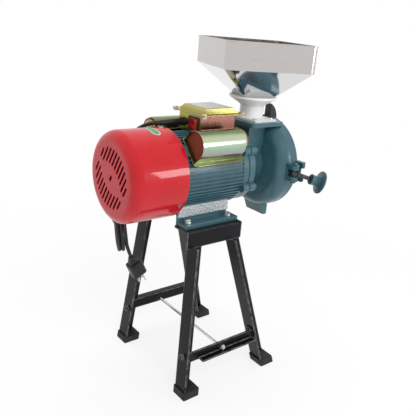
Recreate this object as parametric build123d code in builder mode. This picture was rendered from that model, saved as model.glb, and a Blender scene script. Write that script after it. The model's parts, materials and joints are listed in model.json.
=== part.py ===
from build123d import *
import os
from math import cos, pi, radians, sin, sqrt, tan

os.makedirs("parts", exist_ok=True)

# Electric grain mill on an angle-iron stand. Millimetres, +Z up, origin on the floor under
# the middle of the mill; the shaft runs along X, with the grinding head at +X.

# Shared clearances
moving_gap = 0.3
running_fit = 0.05
screw_fit = 0.25

# Heights that everything above the bench follows, and stations along X
bench_height = 316.0
foot_plate = 7.0
shaft_rise = 78.0
foot_height = bench_height + foot_plate
shaft_height = foot_height + shaft_rise
frame_x = -97.8
frame_length = 130.0

# Motor frame
frame_bore = 58.0
frame_skin = 66.5
fin_tip = 70.0
fin_width = 2.2
fin_count = 60
spigot_length = 4.0
foot_length = 118.0
foot_start = 2.0
foot_half_width = 73.0
foot_web_y = 50.0
foot_web = 6.0
strip_start = 1.0
strip_length = 110.0
strip_lift = 8.0
strip_height = 20.0
strip_thickness = 2.5
strip_ribs = 4
foot_bolt_y = 60.0
foot_bolt_inset = 14.0

# End shields and bearings
rear_shield = 12.0
front_shield = 13.0
shield_radius = 68.0
rear_bearing_radius = 17.5
rear_bearing_width = 11.0
rear_bearing_bore = 7.5
front_bearing_radius = 20.0
front_bearing_width = 12.0
front_bearing_bore = 8.5
core_radius = 9.5
shaft_hole_gap = 1.0
lug_circle = 71.0
lug_radius = 8.0
lug_angles = (56, 113, -56, -113)
flange_bolt = 3.0

# Stator and rotor
stator_start = 30.0
stator_length = 62.0
rotor_radius = 33.0
air_gap = 0.5
winding_inner = 37.0
winding_outer = 54.0
winding_length = 15.0

# Fan cover and fan
cover_radius = 79.0
cover_length = 104.0
cover_round = 18.0
cover_wall = 1.6
slot_pitch = 8.95
slot_count = 11
slot_length = 31.0
slot_width = 4.6
slot_circle = 52.0
slot_angle = 122.5
slot_band = 6.0
cover_eye = 3.0
cover_screw_inset = 9.0
cover_screw_angles = (0, 120, 240)
fan_hub = 15.0
fan_radius = 62.0
fan_width = 30.0
fan_start = -70.0
fan_blade = 2.5
fan_blades = 8
fan_stub = 6.0

cover_screw_radius = 2.0
cover_screw_length = 9.0
cover_lug_mid = 68.0
cover_lug_width = 14.0
fan_disc_inset = 6.0
end_ring = 6.0

# Stand
angle_wall = 4.0
beam_start = -1.0
beam_length = 122.5
beam_outer = 85.0
beam_flange = 40.0
beam_web = 31.0
leg_size = 30.0
leg_wall = 3.5
leg_top_y = 81.0
leg_foot_y = 106.0
rear_leg_top = 29.0
rear_leg_foot = 5.0
front_leg_top = 114.5
front_leg_foot = 195.0
leg_base = 3.0
boot_wall = 2.5
boot_height = 14.0
brace_z = 68.0
brace_web = 20.0
brace_flange = 14.0
brace_wall = 3.0
brace_y = 108.0
bolt_shank = 3.0
brace_bolt_y = 99.5
brace_tab = 15.0
tie_x = 79.0
tie_z = 77.0
tie_radius = 3.0
tie_tail = 3.0
nut_radius = 5.8
nut_height = 5.0

# Switch box
box_start = 48.0
box_length = 83.0
box_half_width = 32.0
box_bottom = shaft_height + 70.0
box_top = box_bottom + 32.0
box_wall = 1.6
box_corner = 5.0
lid_start = 44.0
lid_length = 95.0
lid_half_width = 47.4
lid_flange = 1.5
lid_crown = 8.5
crown_inset = 9.5
crown_slope = 38.0
lid_screw = 2.0
lid_screw_inset = 4.5
lid_nut_height = 2.5
rocker_y = -16.2
rocker_z = box_bottom + 16.0
bezel_length = 31.5
bezel_height = 24.5
bezel_thickness = 2.0
switch_depth = 18.0
rocker_window = 22.4
rocker_window_height = 18.6
rocker_swing = 9.0
pivot_radius = 1.5
gland_y = 16.4
gland_z = box_bottom + 14.0
gland_length = 26.0
gland_thread = 5.8
gland_nut = 7.6
gland_nut_length = 4.0
bezel_lip = 1.8
rocker_set_in = 1.5
rocker_rise = 5.0
rocker_dip = 0.55
rocker_crest = 0.88
pivot_length = 1.2
terminal_length = 40.0
terminal_width = 16.0
terminal_height = 12.0
lid_corner = 3.0

# Capacitors under pressed covers
cap_angle = 46.5
cap_seat = 71.0
cap_half_width = 24.6
cap_straight = 16.2
cap_start = 16.5
cap_length = 101.0
cap_wall = 1.2
cap_round = 9.0
cap_flange_start = 11.0
cap_flange_length = 111.0
cap_flange_low = -32.0
cap_flange_high = 26.0
cap_pad_depth = 10.0
cap_pad_width = 20.0
capacitor_radius = 18.8
capacitor_length = 94.0
cap_board = 2.0
far_cap_start = 7.0

# Mill housing
mill_flange_gap = 2.0
mill_flange = 13.0
neck_radius = 38.0
back_wall = 203.0
rim_x = 239.7
rim_radius = 89.8
auger_bore = 27.0
burr_bore = 73.0
burr_floor = 214.0
throat_x = 196.0
throat_half_x = 40.8
throat_half_y = 51.4
throat_top = shaft_height + 86.0
throat_plate = 7.5
duct_rear = 172.0
duct_front = 209.0
duct_half_y = 25.0
duct_wall = 5.0
chute_half_width = 25.0
chute_wall = 3.5
chute_bottom = shaft_height - 110.0
chute_rear = 218.5
chute_top = shaft_height - 73.0
chute_lip = 235.0
chute_front = 244.5
chute_front_top = shaft_height - 88.5
dish_slope = 3.0
dish_shoulder = 26.0
dish_mid = 9.5
dish_mid_drop = 7.5
dish_band = 12.0

# Grinding parts
auger_radius = 24.5
auger_shaft = 8.0
auger_pitch = 24.0
auger_flight = 4.0
burr_radius = 64.0
burr_thickness = 9.0
burr_eye = 26.0
burr_gap = 0.8
fixed_burr_start = 232.0
burr_grooves = 18
burr_groove = 1.5
burr_groove_slant = 12.0
burr_hub_wall = 7.0
burr_spokes = 3
burr_nut_height = 4.5
burr_screw_count = 4
auger_sleeve = 11.0
front_rim = 6.0
front_depth = 13.0
front_round = 8.0
front_boss = 34.0
front_boss_depth = 7.0
grip_length = 18.0
grip_height = 24.0
grip_half_width = 8.0
grip_seat = 6.0
grip_radius = 32.0

# Clamps
clamp_x = 226.0
clamp_y = 102.0
clamp_pin = 3.0
clevis_gap = 7.0
clevis_wall = 8.5
clevis_half = 8.0
pin_head = 4.5
pin_head_height = 3.0
fork_start = 243.0
fork_front = 253.0
fork_reach = 106.0
fork_height = 18.5
fork_slot = 5.3
fork_mouth = 8.2
swing_angle = 28.0
droop_angle = 17.5
bolt_radius = 4.0
eye_radius = 8.0
eye_hole = 4.5
eye_thickness = 6.5
nut_reach = 36.0
nut_hub = 10.3
nut_hub_length = 17.0
nut_waist = 9.0
nut_disc = 22.0
nut_edge = 2.4
nut_crown = 4.6
washer_radius = 8.0
washer_thickness = 1.6
bolt_in_nut = 12.0
nut_travel = 3.0
clevis_root = 1.5
fork_root = 7.0
fork_round = 5.0
nut_dome = (nut_disc**2 + nut_crown**2) / (2 * nut_crown)

# Feed neck and hopper
neck_half_x = 27.5
neck_half_y = 44.0
neck_plate = 4.0
neck_tube = 22.6
neck_bore = 20.5
neck_screw_x = 20.0
neck_screw_y = 32.0
neck_top = throat_top + 44.0
neck_flare = 45.0
neck_flare_height = 14.0
neck_rim = 4.0
neck_screw = 2.2
hopper_x = 191.2
hopper_y = 2.6
hopper_turn = -20.0
hopper_side = 172.0
hopper_corner = 11.0
hopper_wall = 1.2
hopper_foot_side = 66.0
hopper_band_bottom = neck_top + 51.0
hopper_top = hopper_band_bottom + 48.0
hopper_lip = 2.0
hopper_spout = 16.0

# Cord, its hank and plug
cord_diameter = 7.0
hank_x = -47.8
hank_y = 82.5
hank_top = -54.5
hank_width = 50.0
hank_height = 121.5
hank_depth = 21.0
hank_round = 12.0
hank_turn = 69.5
hank_lean = 6.8
plug_tail = 16.0
plug_length = 30.0
plug_width = 30.0
plug_depth = 22.0
plug_round = 6.0
plug_skin = 1.5
blade_space = 5.0
blade_width = 6.3
blade_thickness = 1.6
blade_length = 19.0

frame_front = frame_x + frame_length
mill_x = frame_front + front_shield + mill_flange_gap
beam_x = frame_x + beam_start
rocker_tilt = radians(-rocker_swing)
sides = (("near", -1), ("far", 1))


def across(x):
    """The plane square to the shaft at x, with Y to the right and Z up."""
    return Plane(origin=(x, 0, shaft_height), x_dir=(0, 1, 0), z_dir=(1, 0, 0))


along = Plane(origin=(0, 0, shaft_height), x_dir=(1, 0, 0), z_dir=(0, -1, 0))
shaft_axis = Axis((0, 0, shaft_height), (1, 0, 0))


def hex_bolt(plane, radius, length, head_height=4.0, washer=1.2):
    """A hex bolt that enters the plane from its front, with its washer and head in front."""
    with BuildPart() as bolt:
        with BuildSketch(plane):
            Circle(radius)
        extrude(amount=-length)
        with BuildSketch(plane):
            Circle(radius * 2.1)
        extrude(amount=washer)
        with BuildSketch(plane.offset(washer)):
            RegularPolygon(radius * 1.8, 6)
        extrude(amount=head_height)
    return bolt.part


def keep_group(name, pieces):
    """Writes loose, identical pieces as one node."""
    group = Compound(children=pieces)
    group.label = name
    export_step(group, f"parts/{name}.step")


# ---------------------------------------------------------------- stand
for side_name, side in sides:
    with BuildPart() as beam:
        with BuildSketch(Plane.YZ.offset(beam_x)):
            with BuildLine():
                Polyline(
                    (side * beam_outer, bench_height),
                    (side * (beam_outer - beam_flange), bench_height),
                    (side * (beam_outer - beam_flange), bench_height - angle_wall),
                    (side * (beam_outer - angle_wall), bench_height - angle_wall),
                    (side * (beam_outer - angle_wall), bench_height - beam_web),
                    (side * beam_outer, bench_height - beam_web),
                    close=True,
                )
            make_face()
        extrude(amount=beam_length)
        top_edges = beam.edges().filter_by(Axis.X).group_by(Axis.Z)[-1]
        fillet(top_edges.sort_by(lambda edge: side * edge.center().Y)[-1], radius=angle_wall / 2)
        for bolt_x in (foot_start + foot_bolt_inset, foot_start + foot_length - foot_bolt_inset):
            with Locations((frame_x + bolt_x, side * foot_bolt_y, bench_height)):
                Hole(bolt_shank + screw_fit, depth=angle_wall)
    beam.part.label = f"beam_{side_name}"
    export_step(beam.part, f"parts/{beam.part.label}.step")

leg_top_z = bench_height - beam_web
leg_under = bench_height - angle_wall
leg_drop = leg_top_z - boot_height
leg_ends = {"rear": (rear_leg_top, rear_leg_foot), "front": (front_leg_top, front_leg_foot)}
brace_top = brace_z + brace_web
brace_bolt_z = brace_z + brace_web / 2


def leg_center(end, side, z):
    """Centre of a leg's angle section at a height."""
    top_x, foot_x = leg_ends[end]
    share = (leg_top_z - z) / leg_drop
    x = frame_x + top_x + (foot_x - top_x) * share
    y = side * (leg_top_y + (leg_foot_y - leg_top_y) * share)
    return x, y


def leg_face(end, z):
    """X of the rear face of a near or far leg at a height."""
    return leg_center(end, 1, z)[0] - leg_size / 2


def leg_section(end, side):
    """Angle section of a leg at its foot, one flange facing -X, the other along its +Y edge."""
    x, y = leg_center(end, side, leg_base)
    half = leg_size / 2
    with BuildSketch() as section:
        with BuildLine():
            Polyline(
                (x - half, y - half),
                (x - half, y + half),
                (x + half, y + half),
                (x + half, y + half - leg_wall),
                (x - half + leg_wall, y + half - leg_wall),
                (x - half + leg_wall, y - half),
                close=True,
            )
        make_face()
    return section.sketch


def leg_lean(end, side, low_z, high_z):
    """The way from the leg's centre at one height to its centre at another."""
    low = leg_center(end, side, low_z)
    high = leg_center(end, side, high_z)
    return Vector(high[0] - low[0], high[1] - low[1], high_z - low_z)


def brace_bolt_plane(end, side):
    """Where a brace bolt's washer sits, facing back."""
    top_x, foot_x = leg_ends[end]
    slope = (top_x - foot_x) / leg_drop
    seat = brace_wall if end == "front" else 0
    origin = (leg_face(end, brace_bolt_z) - seat, side * brace_bolt_y, brace_bolt_z)
    return Plane(origin=origin, x_dir=(0, 1, 0), z_dir=(-1, 0, slope))


for end in leg_ends:
    for side_name, side in sides:
        lean = leg_lean(end, side, leg_base, leg_under)
        with BuildPart() as leg:
            with BuildSketch(Plane.XY.offset(leg_base)):
                add(leg_section(end, side))
            extrude(amount=lean.length, dir=lean.normalized())
            # notched where the beam's web stands
            with BuildSketch(Plane.XY.offset(leg_top_z)):
                with Locations((frame_x + leg_ends[end][0], side * (beam_outer - angle_wall + leg_size))):
                    Rectangle(leg_size * 4, leg_size * 2)
            extrude(amount=beam_web, mode=Mode.SUBTRACT)
            with BuildSketch(brace_bolt_plane(end, side)):
                Circle(bolt_shank + screw_fit)
            extrude(amount=leg_size / 2, both=True, mode=Mode.SUBTRACT)
        leg.part.label = f"leg_{end}_{side_name}"
        export_step(leg.part, f"parts/{leg.part.label}.step")

boots = []
for end in leg_ends:
    for side_name, side in sides:
        slant = leg_lean(end, side, 0, boot_height)
        pocket = leg_lean(end, side, leg_base, 2 * boot_height)
        with BuildPart() as boot:
            with BuildSketch():
                with Locations(leg_center(end, side, 0)):
                    RectangleRounded(leg_size + 2 * boot_wall, leg_size + 2 * boot_wall, boot_wall)
            extrude(amount=slant.length, dir=slant.normalized())
            with BuildSketch(Plane.XY.offset(leg_base)):
                add(leg_section(end, side))
            extrude(amount=pocket.length, dir=pocket.normalized(), mode=Mode.SUBTRACT)
        boots.append(boot.part)
keep_group("rubber_feet", boots)

for side_name, side in sides:
    web_y = side * brace_y
    web_plane = Plane(origin=(0, web_y, 0), x_dir=(1, 0, 0), z_dir=(0, -1, 0))
    rear_low = leg_face("rear", brace_z) + leg_wall
    rear_high = leg_face("rear", brace_top) + leg_wall
    front_low = leg_face("front", brace_z)
    front_high = leg_face("front", brace_top)
    with BuildPart() as brace:
        # the flange points outward, low on the near brace and high on the far one
        flange_z = brace_z if side < 0 else brace_top - brace_wall
        flange_rear = leg_face("rear", brace_top) + leg_size + moving_gap
        flange_front = leg_face("front", brace_top) - moving_gap
        with BuildSketch(Plane.XY.offset(flange_z)):
            with Locations(((flange_rear + flange_front) / 2, web_y + side * brace_flange / 2)):
                Rectangle(flange_front - flange_rear, brace_flange)
        extrude(amount=brace_wall)
        with BuildSketch(web_plane):
            with BuildLine():
                Polyline(
                    (rear_low, brace_z),
                    (front_low, brace_z),
                    (front_high, brace_top),
                    (rear_high, brace_top),
                    close=True,
                )
            make_face()
        extrude(amount=brace_wall / 2, both=True)
        # end tabs that lie against the legs
        for tab_low, tab_high, inward in ((rear_low, rear_high, 1), (front_low, front_high, -1)):
            with BuildSketch(web_plane):
                with BuildLine():
                    Polyline(
                        (tab_low, brace_z),
                        (tab_low + inward * brace_wall, brace_z),
                        (tab_high + inward * brace_wall, brace_top),
                        (tab_high, brace_top),
                        close=True,
                    )
                make_face()
            extrude(amount=side * brace_tab)
        with BuildSketch(web_plane):
            with Locations((frame_x + tie_x, tie_z)):
                Circle(tie_radius + screw_fit)
        extrude(amount=brace_wall, both=True, mode=Mode.SUBTRACT)
        for end in leg_ends:
            with BuildSketch(brace_bolt_plane(end, side)):
                Circle(bolt_shank + screw_fit)
            extrude(amount=brace_wall * 4, both=True, mode=Mode.SUBTRACT)
    brace.part.label = f"brace_{side_name}"
    export_step(brace.part, f"parts/{brace.part.label}.step")

brace_bolts = []
for end in leg_ends:
    for side_name, side in sides:
        brace_bolts.append(hex_bolt(brace_bolt_plane(end, side), bolt_shank, leg_wall + brace_wall))
keep_group("brace_bolts", brace_bolts)

tie_end = brace_y + brace_wall / 2 + nut_height + tie_tail
with BuildPart() as tie_rod:
    with BuildSketch(Plane(origin=(frame_x + tie_x, 0, tie_z), x_dir=(1, 0, 0), z_dir=(0, -1, 0))):
        Circle(tie_radius)
    extrude(amount=tie_end, both=True)
tie_rod.part.label = "tie_rod"
export_step(tie_rod.part, "parts/tie_rod.step")

tie_nuts = []
for side_name, side in sides:
    seat = (frame_x + tie_x, side * (brace_y + brace_wall / 2), tie_z)
    with BuildPart() as tie_nut:
        with BuildSketch(Plane(origin=seat, x_dir=(1, 0, 0), z_dir=(0, side, 0))):
            RegularPolygon(nut_radius, 6)
            Circle(tie_radius, mode=Mode.SUBTRACT)
        extrude(amount=nut_height)
    tie_nuts.append(tie_nut.part)
keep_group("tie_rod_nuts", tie_nuts)

# ---------------------------------------------------------------- motor
web_top = -sqrt(frame_skin**2 - foot_web_y**2)
pad_height = box_bottom - shaft_height
foot_bolts_x = (foot_start + foot_bolt_inset, foot_start + foot_length - foot_bolt_inset)
with BuildPart() as motor_frame:
    with BuildSketch(across(frame_x)):
        Circle(frame_skin)
        with PolarLocations((frame_skin + fin_tip) / 2 - 1, fin_count):
            Rectangle(fin_tip - frame_skin + 2, fin_width)
        for turn in (cap_angle, -cap_angle):
            with PolarLocations(cap_seat - cap_pad_depth / 2, 1, start_angle=90 + turn):
                Rectangle(cap_pad_depth, cap_pad_width)
    extrude(amount=frame_length)
    foot_inner = foot_web_y - foot_web
    with BuildSketch(across(frame_x + foot_start)):
        for side_name, side in sides:
            with Locations((side * (foot_inner + foot_half_width) / 2, -shaft_rise - foot_plate / 2)):
                Rectangle(foot_half_width - foot_inner, foot_plate)
    extrude(amount=foot_length)
    with BuildSketch(across(frame_x + foot_start)):
        for side_name, side in sides:
            with BuildLine():
                Polyline(
                    (side * foot_web_y, -shaft_rise),
                    (side * foot_web_y, web_top),
                    (side * foot_inner, web_top - running_fit),
                    (side * foot_inner, -shaft_rise),
                    close=True,
                )
            make_face()
    extrude(amount=strip_start + strip_length - foot_start)
    with BuildSketch(Plane.XY.offset(shaft_height + frame_bore)):
        with Locations((frame_x + box_start + box_length / 2, 0)):
            Rectangle(box_length - 2 * box_corner, 2 * box_half_width - 3 * box_corner)
    extrude(amount=pad_height - frame_bore)
    with BuildSketch(across(frame_x)):
        Circle(frame_bore)
    extrude(amount=frame_length, mode=Mode.SUBTRACT)
    for bolt_x in foot_bolts_x:
        for side_name, side in sides:
            with Locations((frame_x + bolt_x, side * foot_bolt_y, foot_height)):
                Hole(bolt_shank + screw_fit, depth=foot_plate)
motor_frame.part.label = "motor_frame"
export_step(motor_frame.part, "parts/motor_frame.step")

foot_bolts = []
for bolt_x in foot_bolts_x:
    for side_name, side in sides:
        seat = Plane((frame_x + bolt_x, side * foot_bolt_y, foot_height))
        foot_bolts.append(hex_bolt(seat, bolt_shank, foot_plate + angle_wall))
keep_group("foot_bolts", foot_bolts)

strips = []
for side_name, side in sides:
    with BuildPart() as strip:
        with BuildSketch(Plane.YZ.offset(frame_x + strip_start)):
            with Locations((side * (foot_web_y + strip_thickness / 2), foot_height + strip_lift + strip_height / 2)):
                Rectangle(strip_thickness, strip_height)
            rib_pitch = strip_height / strip_ribs
            for rib in range(strip_ribs):
                rib_z = foot_height + strip_lift + rib_pitch * (rib + 0.5)
                with Locations((side * (foot_web_y + strip_thickness), rib_z)):
                    Rectangle(strip_thickness, rib_pitch / 2)
        extrude(amount=strip_length)
    strips.append(strip.part)
keep_group("foot_strips", strips)


def cover_screw_plane(angle):
    """On the fan cover's side over a lug of the rear shield, facing out."""
    out = Vector(0, -sin(radians(angle)), cos(radians(angle)))
    seat = Vector(frame_x - cover_screw_inset, 0, shaft_height) + out * cover_radius
    return Plane(origin=seat, x_dir=(1, 0, 0), z_dir=out)


rear_bearing_start = frame_x + spigot_length - rear_bearing_width
with BuildPart() as rear_end_shield:
    with BuildSketch(across(frame_x - rear_shield)):
        Circle(fin_tip - spigot_length)
        for angle in cover_screw_angles:
            with PolarLocations(cover_lug_mid, 1, start_angle=90 + angle):
                Rectangle(2 * (cover_radius - cover_lug_mid), cover_lug_width)
        Circle(cover_radius - cover_wall, mode=Mode.INTERSECT)
    extrude(amount=rear_shield)
    with BuildSketch(across(frame_x)):
        Circle(frame_bore)
    extrude(amount=spigot_length)
    with BuildSketch(across(frame_x + spigot_length)):
        Circle(rear_bearing_radius)
    extrude(amount=-rear_bearing_width, mode=Mode.SUBTRACT)
    with BuildSketch(across(frame_x - rear_shield)):
        Circle(rear_bearing_bore + shaft_hole_gap)
    extrude(amount=rear_shield, mode=Mode.SUBTRACT)
    for angle in cover_screw_angles:
        with BuildSketch(cover_screw_plane(angle)):
            Circle(cover_screw_radius)
        extrude(amount=-cover_screw_length, mode=Mode.SUBTRACT)
rear_end_shield.part.label = "rear_end_shield"
export_step(rear_end_shield.part, "parts/rear_end_shield.step")

front_bearing_start = frame_front - spigot_length
with BuildPart() as front_end_shield:
    with BuildSketch(across(frame_front)):
        Circle(shield_radius)
        for angle in lug_angles:
            with PolarLocations(lug_circle, 1, start_angle=90 + angle):
                Circle(lug_radius)
    extrude(amount=front_shield)
    with BuildSketch(across(front_bearing_start)):
        Circle(frame_bore)
    extrude(amount=spigot_length)
    with BuildSketch(across(front_bearing_start)):
        Circle(front_bearing_radius)
    extrude(amount=front_bearing_width, mode=Mode.SUBTRACT)
    with BuildSketch(across(frame_front)):
        Circle(front_bearing_bore + shaft_hole_gap)
        for angle in lug_angles:
            with PolarLocations(lug_circle, 1, start_angle=90 + angle):
                Circle(flange_bolt + screw_fit)
    extrude(amount=front_shield, mode=Mode.SUBTRACT)
front_end_shield.part.label = "front_end_shield"
export_step(front_end_shield.part, "parts/front_end_shield.step")

bearings = []
for start, width, outer, bore in (
    (rear_bearing_start, rear_bearing_width, rear_bearing_radius, rear_bearing_bore),
    (front_bearing_start, front_bearing_width, front_bearing_radius, front_bearing_bore),
):
    with BuildPart() as bearing:
        with BuildSketch(across(start)):
            Circle(outer)
            Circle(bore + running_fit, mode=Mode.SUBTRACT)
        extrude(amount=width)
    bearings.append(bearing.part)
keep_group("shaft_bearings", bearings)

stator_x = frame_x + stator_start
with BuildPart() as stator_core:
    with BuildSketch(across(stator_x)):
        Circle(frame_bore)
        Circle(rotor_radius + air_gap, mode=Mode.SUBTRACT)
    extrude(amount=stator_length)
stator_core.part.label = "stator_core"
export_step(stator_core.part, "parts/stator_core.step")

windings = []
for start in (stator_x - winding_length, stator_x + stator_length):
    with BuildPart() as winding:
        with BuildSketch(across(start)):
            Circle(winding_outer)
            Circle(winding_inner, mode=Mode.SUBTRACT)
        extrude(amount=winding_length)
    windings.append(winding.part)
keep_group("stator_windings", windings)

with BuildPart() as rotor:
    with BuildSketch(across(stator_x)):
        Circle(rotor_radius)
    extrude(amount=stator_length)
    with BuildSketch(across(stator_x - end_ring)):
        Circle(rotor_radius - end_ring / 2)
    extrude(amount=stator_length + 2 * end_ring)
    with BuildSketch(across(stator_x - end_ring)):
        Circle(core_radius)
    extrude(amount=stator_length + 2 * end_ring, mode=Mode.SUBTRACT)
rotor.part.label = "rotor"
export_step(rotor.part, "parts/rotor.step")

fan_x = frame_x + fan_start
burr_back = frame_x + fixed_burr_start - burr_gap - burr_thickness
shaft_end = burr_back + burr_thickness - 2 * running_fit
rear_shoulder = frame_x + spigot_length + moving_gap
front_shoulder = front_bearing_start - moving_gap
with BuildPart() as shaft:
    with BuildSketch(along):
        with BuildLine():
            Polyline(
                (fan_x, 0),
                (fan_x, fan_stub),
                (frame_x - rear_shield, fan_stub),
                (frame_x - rear_shield, rear_bearing_bore),
                (rear_shoulder, rear_bearing_bore),
                (rear_shoulder, core_radius),
                (front_shoulder, core_radius),
                (front_shoulder, front_bearing_bore),
                (frame_front + front_shield, front_bearing_bore),
                (frame_front + front_shield, auger_shaft),
                (shaft_end, auger_shaft),
                (shaft_end, 0),
                close=True,
            )
        make_face()
    revolve(axis=shaft_axis)
shaft.part.label = "shaft"
export_step(shaft.part, "parts/shaft.step")

with BuildPart() as cooling_fan:
    with BuildSketch(across(fan_x)):
        Circle(fan_hub)
        with PolarLocations((fan_hub + fan_radius) / 2 - 1, fan_blades):
            Rectangle(fan_radius - fan_hub + 2, fan_blade)
    extrude(amount=fan_width)
    with BuildSketch(across(fan_x + fan_width - fan_blade)):
        Circle(fan_radius - fan_disc_inset)
    extrude(amount=fan_blade)
    with BuildSketch(across(fan_x)):
        Circle(fan_stub)
    extrude(amount=fan_width, mode=Mode.SUBTRACT)
cooling_fan.part.label = "cooling_fan"
export_step(cooling_fan.part, "parts/cooling_fan.step")

cover_end = frame_x - cover_length
with BuildPart() as fan_cover:
    with BuildSketch(across(cover_end)):
        Circle(cover_radius)
    extrude(amount=cover_length)
    fillet(fan_cover.faces().sort_by(Axis.X)[0].edges(), radius=cover_round)
    offset(amount=-cover_wall, openings=fan_cover.faces().sort_by(Axis.X)[-1])
    with BuildSketch(across(cover_end)):
        for half in (1, -1):
            for slot in range(slot_count):
                offset_across = (slot - (slot_count - 1) / 2) * slot_pitch
                outer = sqrt(slot_circle**2 - offset_across**2)
                length = min(slot_length, outer - slot_band)
                middle = outer - length / 2
                slot_y = offset_across * sin(radians(slot_angle)) + middle * cos(radians(slot_angle))
                slot_z = -offset_across * cos(radians(slot_angle)) + middle * sin(radians(slot_angle))
                with Locations((half * slot_y, half * slot_z)):
                    SlotOverall(length, slot_width, rotation=slot_angle)
        SlotOverall(4 * cover_eye, 2 * cover_eye, rotation=slot_angle)
    extrude(amount=2 * cover_wall, mode=Mode.SUBTRACT)
    for angle in cover_screw_angles:
        with BuildSketch(cover_screw_plane(angle)):
            Circle(cover_screw_radius)
        extrude(amount=-cover_screw_length, mode=Mode.SUBTRACT)
fan_cover.part.label = "fan_cover"
export_step(fan_cover.part, "parts/fan_cover.step")

cover_screws = []
for angle in cover_screw_angles:
    with BuildPart() as cover_screw:
        with BuildSketch(cover_screw_plane(angle)):
            Circle(cover_screw_radius * 2)
        extrude(amount=cover_screw_radius)
        with BuildSketch(cover_screw_plane(angle)):
            Circle(cover_screw_radius)
        extrude(amount=-cover_screw_length)
    cover_screws.append(cover_screw.part)
keep_group("fan_cover_screws", cover_screws)

# ---------------------------------------------------------------- electrics
box_x = frame_x + box_start
lid_x = frame_x + lid_start
box_middle = box_x + box_length / 2
lid_middle = lid_x + lid_length / 2
lid_screw_x = lid_length / 2 - lid_screw_inset
lid_screw_y = lid_half_width - lid_screw_inset
lid_seat = box_top + lid_flange
crown_base = lid_seat + lid_flange
rocker_center = (rocker_y, rocker_z - shaft_height)
gland_center = (gland_y, gland_z - shaft_height)
with BuildPart() as switch_box:
    with BuildSketch(Plane.XY.offset(box_bottom)):
        with Locations((box_middle, 0)):
            RectangleRounded(box_length, 2 * box_half_width, box_corner)
    extrude(amount=box_top - box_bottom)
    # flange under the lid
    with BuildSketch(Plane.XY.offset(box_top)):
        with Locations((lid_middle, 0)):
            RectangleRounded(lid_length, 2 * lid_half_width, lid_corner)
    extrude(amount=lid_flange)
    with BuildSketch(Plane.XY.offset(box_bottom + box_wall)):
        with Locations((box_middle, 0)):
            RectangleRounded(
                box_length - 2 * box_wall, 2 * (box_half_width - box_wall), box_corner - box_wall
            )
    extrude(amount=lid_seat - box_bottom, mode=Mode.SUBTRACT)
    with Locations((lid_middle, 0, lid_seat)):
        with GridLocations(2 * lid_screw_x, 2 * lid_screw_y, 2, 2):
            Hole(lid_screw, depth=lid_flange)
    with BuildSketch(across(box_x)):
        with Locations(rocker_center):
            Rectangle(bezel_length - 2 * bezel_lip, bezel_height - 2 * bezel_lip)
        with Locations(gland_center):
            Circle(gland_thread)
    extrude(amount=box_corner, both=True, mode=Mode.SUBTRACT)
switch_box.part.label = "switch_box"
export_step(switch_box.part, "parts/switch_box.step")

with BuildPart() as switch_box_lid:
    with BuildSketch(Plane.XY.offset(lid_seat)):
        with Locations((lid_middle, 0)):
            RectangleRounded(lid_length, 2 * lid_half_width, lid_corner)
    extrude(amount=lid_flange)
    with BuildSketch(Plane.XY.offset(crown_base)):
        with Locations((lid_middle, 0)):
            Rectangle(lid_length - 2 * crown_inset, 2 * (lid_half_width - crown_inset))
    extrude(amount=lid_crown, taper=crown_slope)
    hollow_inset = crown_inset + lid_flange
    with BuildSketch(Plane.XY.offset(lid_seat)):
        with Locations((lid_middle, 0)):
            Rectangle(lid_length - 2 * hollow_inset, 2 * (lid_half_width - hollow_inset))
    extrude(amount=lid_crown, taper=crown_slope, mode=Mode.SUBTRACT)
    with Locations((lid_middle, 0, crown_base)):
        with GridLocations(2 * lid_screw_x, 2 * lid_screw_y, 2, 2):
            Hole(lid_screw, depth=lid_flange)
switch_box_lid.part.label = "switch_box_lid"
export_step(switch_box_lid.part, "parts/switch_box_lid.step")

lid_screws = []
for screw_x in (lid_middle - lid_screw_x, lid_middle + lid_screw_x):
    for screw_y in (-lid_screw_y, lid_screw_y):
        with BuildPart() as lid_screw_piece:
            with BuildSketch(Plane((screw_x, screw_y, crown_base))):
                Circle(lid_screw)
            extrude(amount=-(2 * lid_flange + lid_nut_height))
            with BuildSketch(Plane((screw_x, screw_y, crown_base))):
                Circle(lid_screw * 2)
            extrude(amount=lid_screw)
        with BuildPart() as lid_nut_piece:
            with BuildSketch(Plane((screw_x, screw_y, box_top))):
                RegularPolygon(lid_screw * 1.9, 6)
                Circle(lid_screw, mode=Mode.SUBTRACT)
            extrude(amount=-lid_nut_height)
        lid_screws += [lid_screw_piece.part, lid_nut_piece.part]
keep_group("switch_box_lid_screws", lid_screws)

rocker_pivot = box_x - bezel_thickness + rocker_set_in
with BuildPart() as rocker_housing:
    with BuildSketch(across(box_x - bezel_thickness)):
        with Locations(rocker_center):
            RectangleRounded(bezel_length, bezel_height, bezel_thickness / 2)
    extrude(amount=bezel_thickness)
    with BuildSketch(across(box_x)):
        with Locations(rocker_center):
            Rectangle(bezel_length - 2 * bezel_lip, bezel_height - 2 * bezel_lip)
    extrude(amount=switch_depth)
    with BuildSketch(across(box_x - bezel_thickness)):
        with Locations(rocker_center):
            Rectangle(rocker_window, rocker_window_height)
    extrude(amount=bezel_thickness + switch_depth - box_wall, mode=Mode.SUBTRACT)
    with BuildSketch(Plane((rocker_pivot, rocker_y, rocker_z))):
        Circle(pivot_radius + running_fit)
    extrude(amount=rocker_window_height / 2 + pivot_length, both=True, mode=Mode.SUBTRACT)
rocker_housing.part.label = "rocker_housing"
export_step(rocker_housing.part, "parts/rocker_housing.step")

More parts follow.
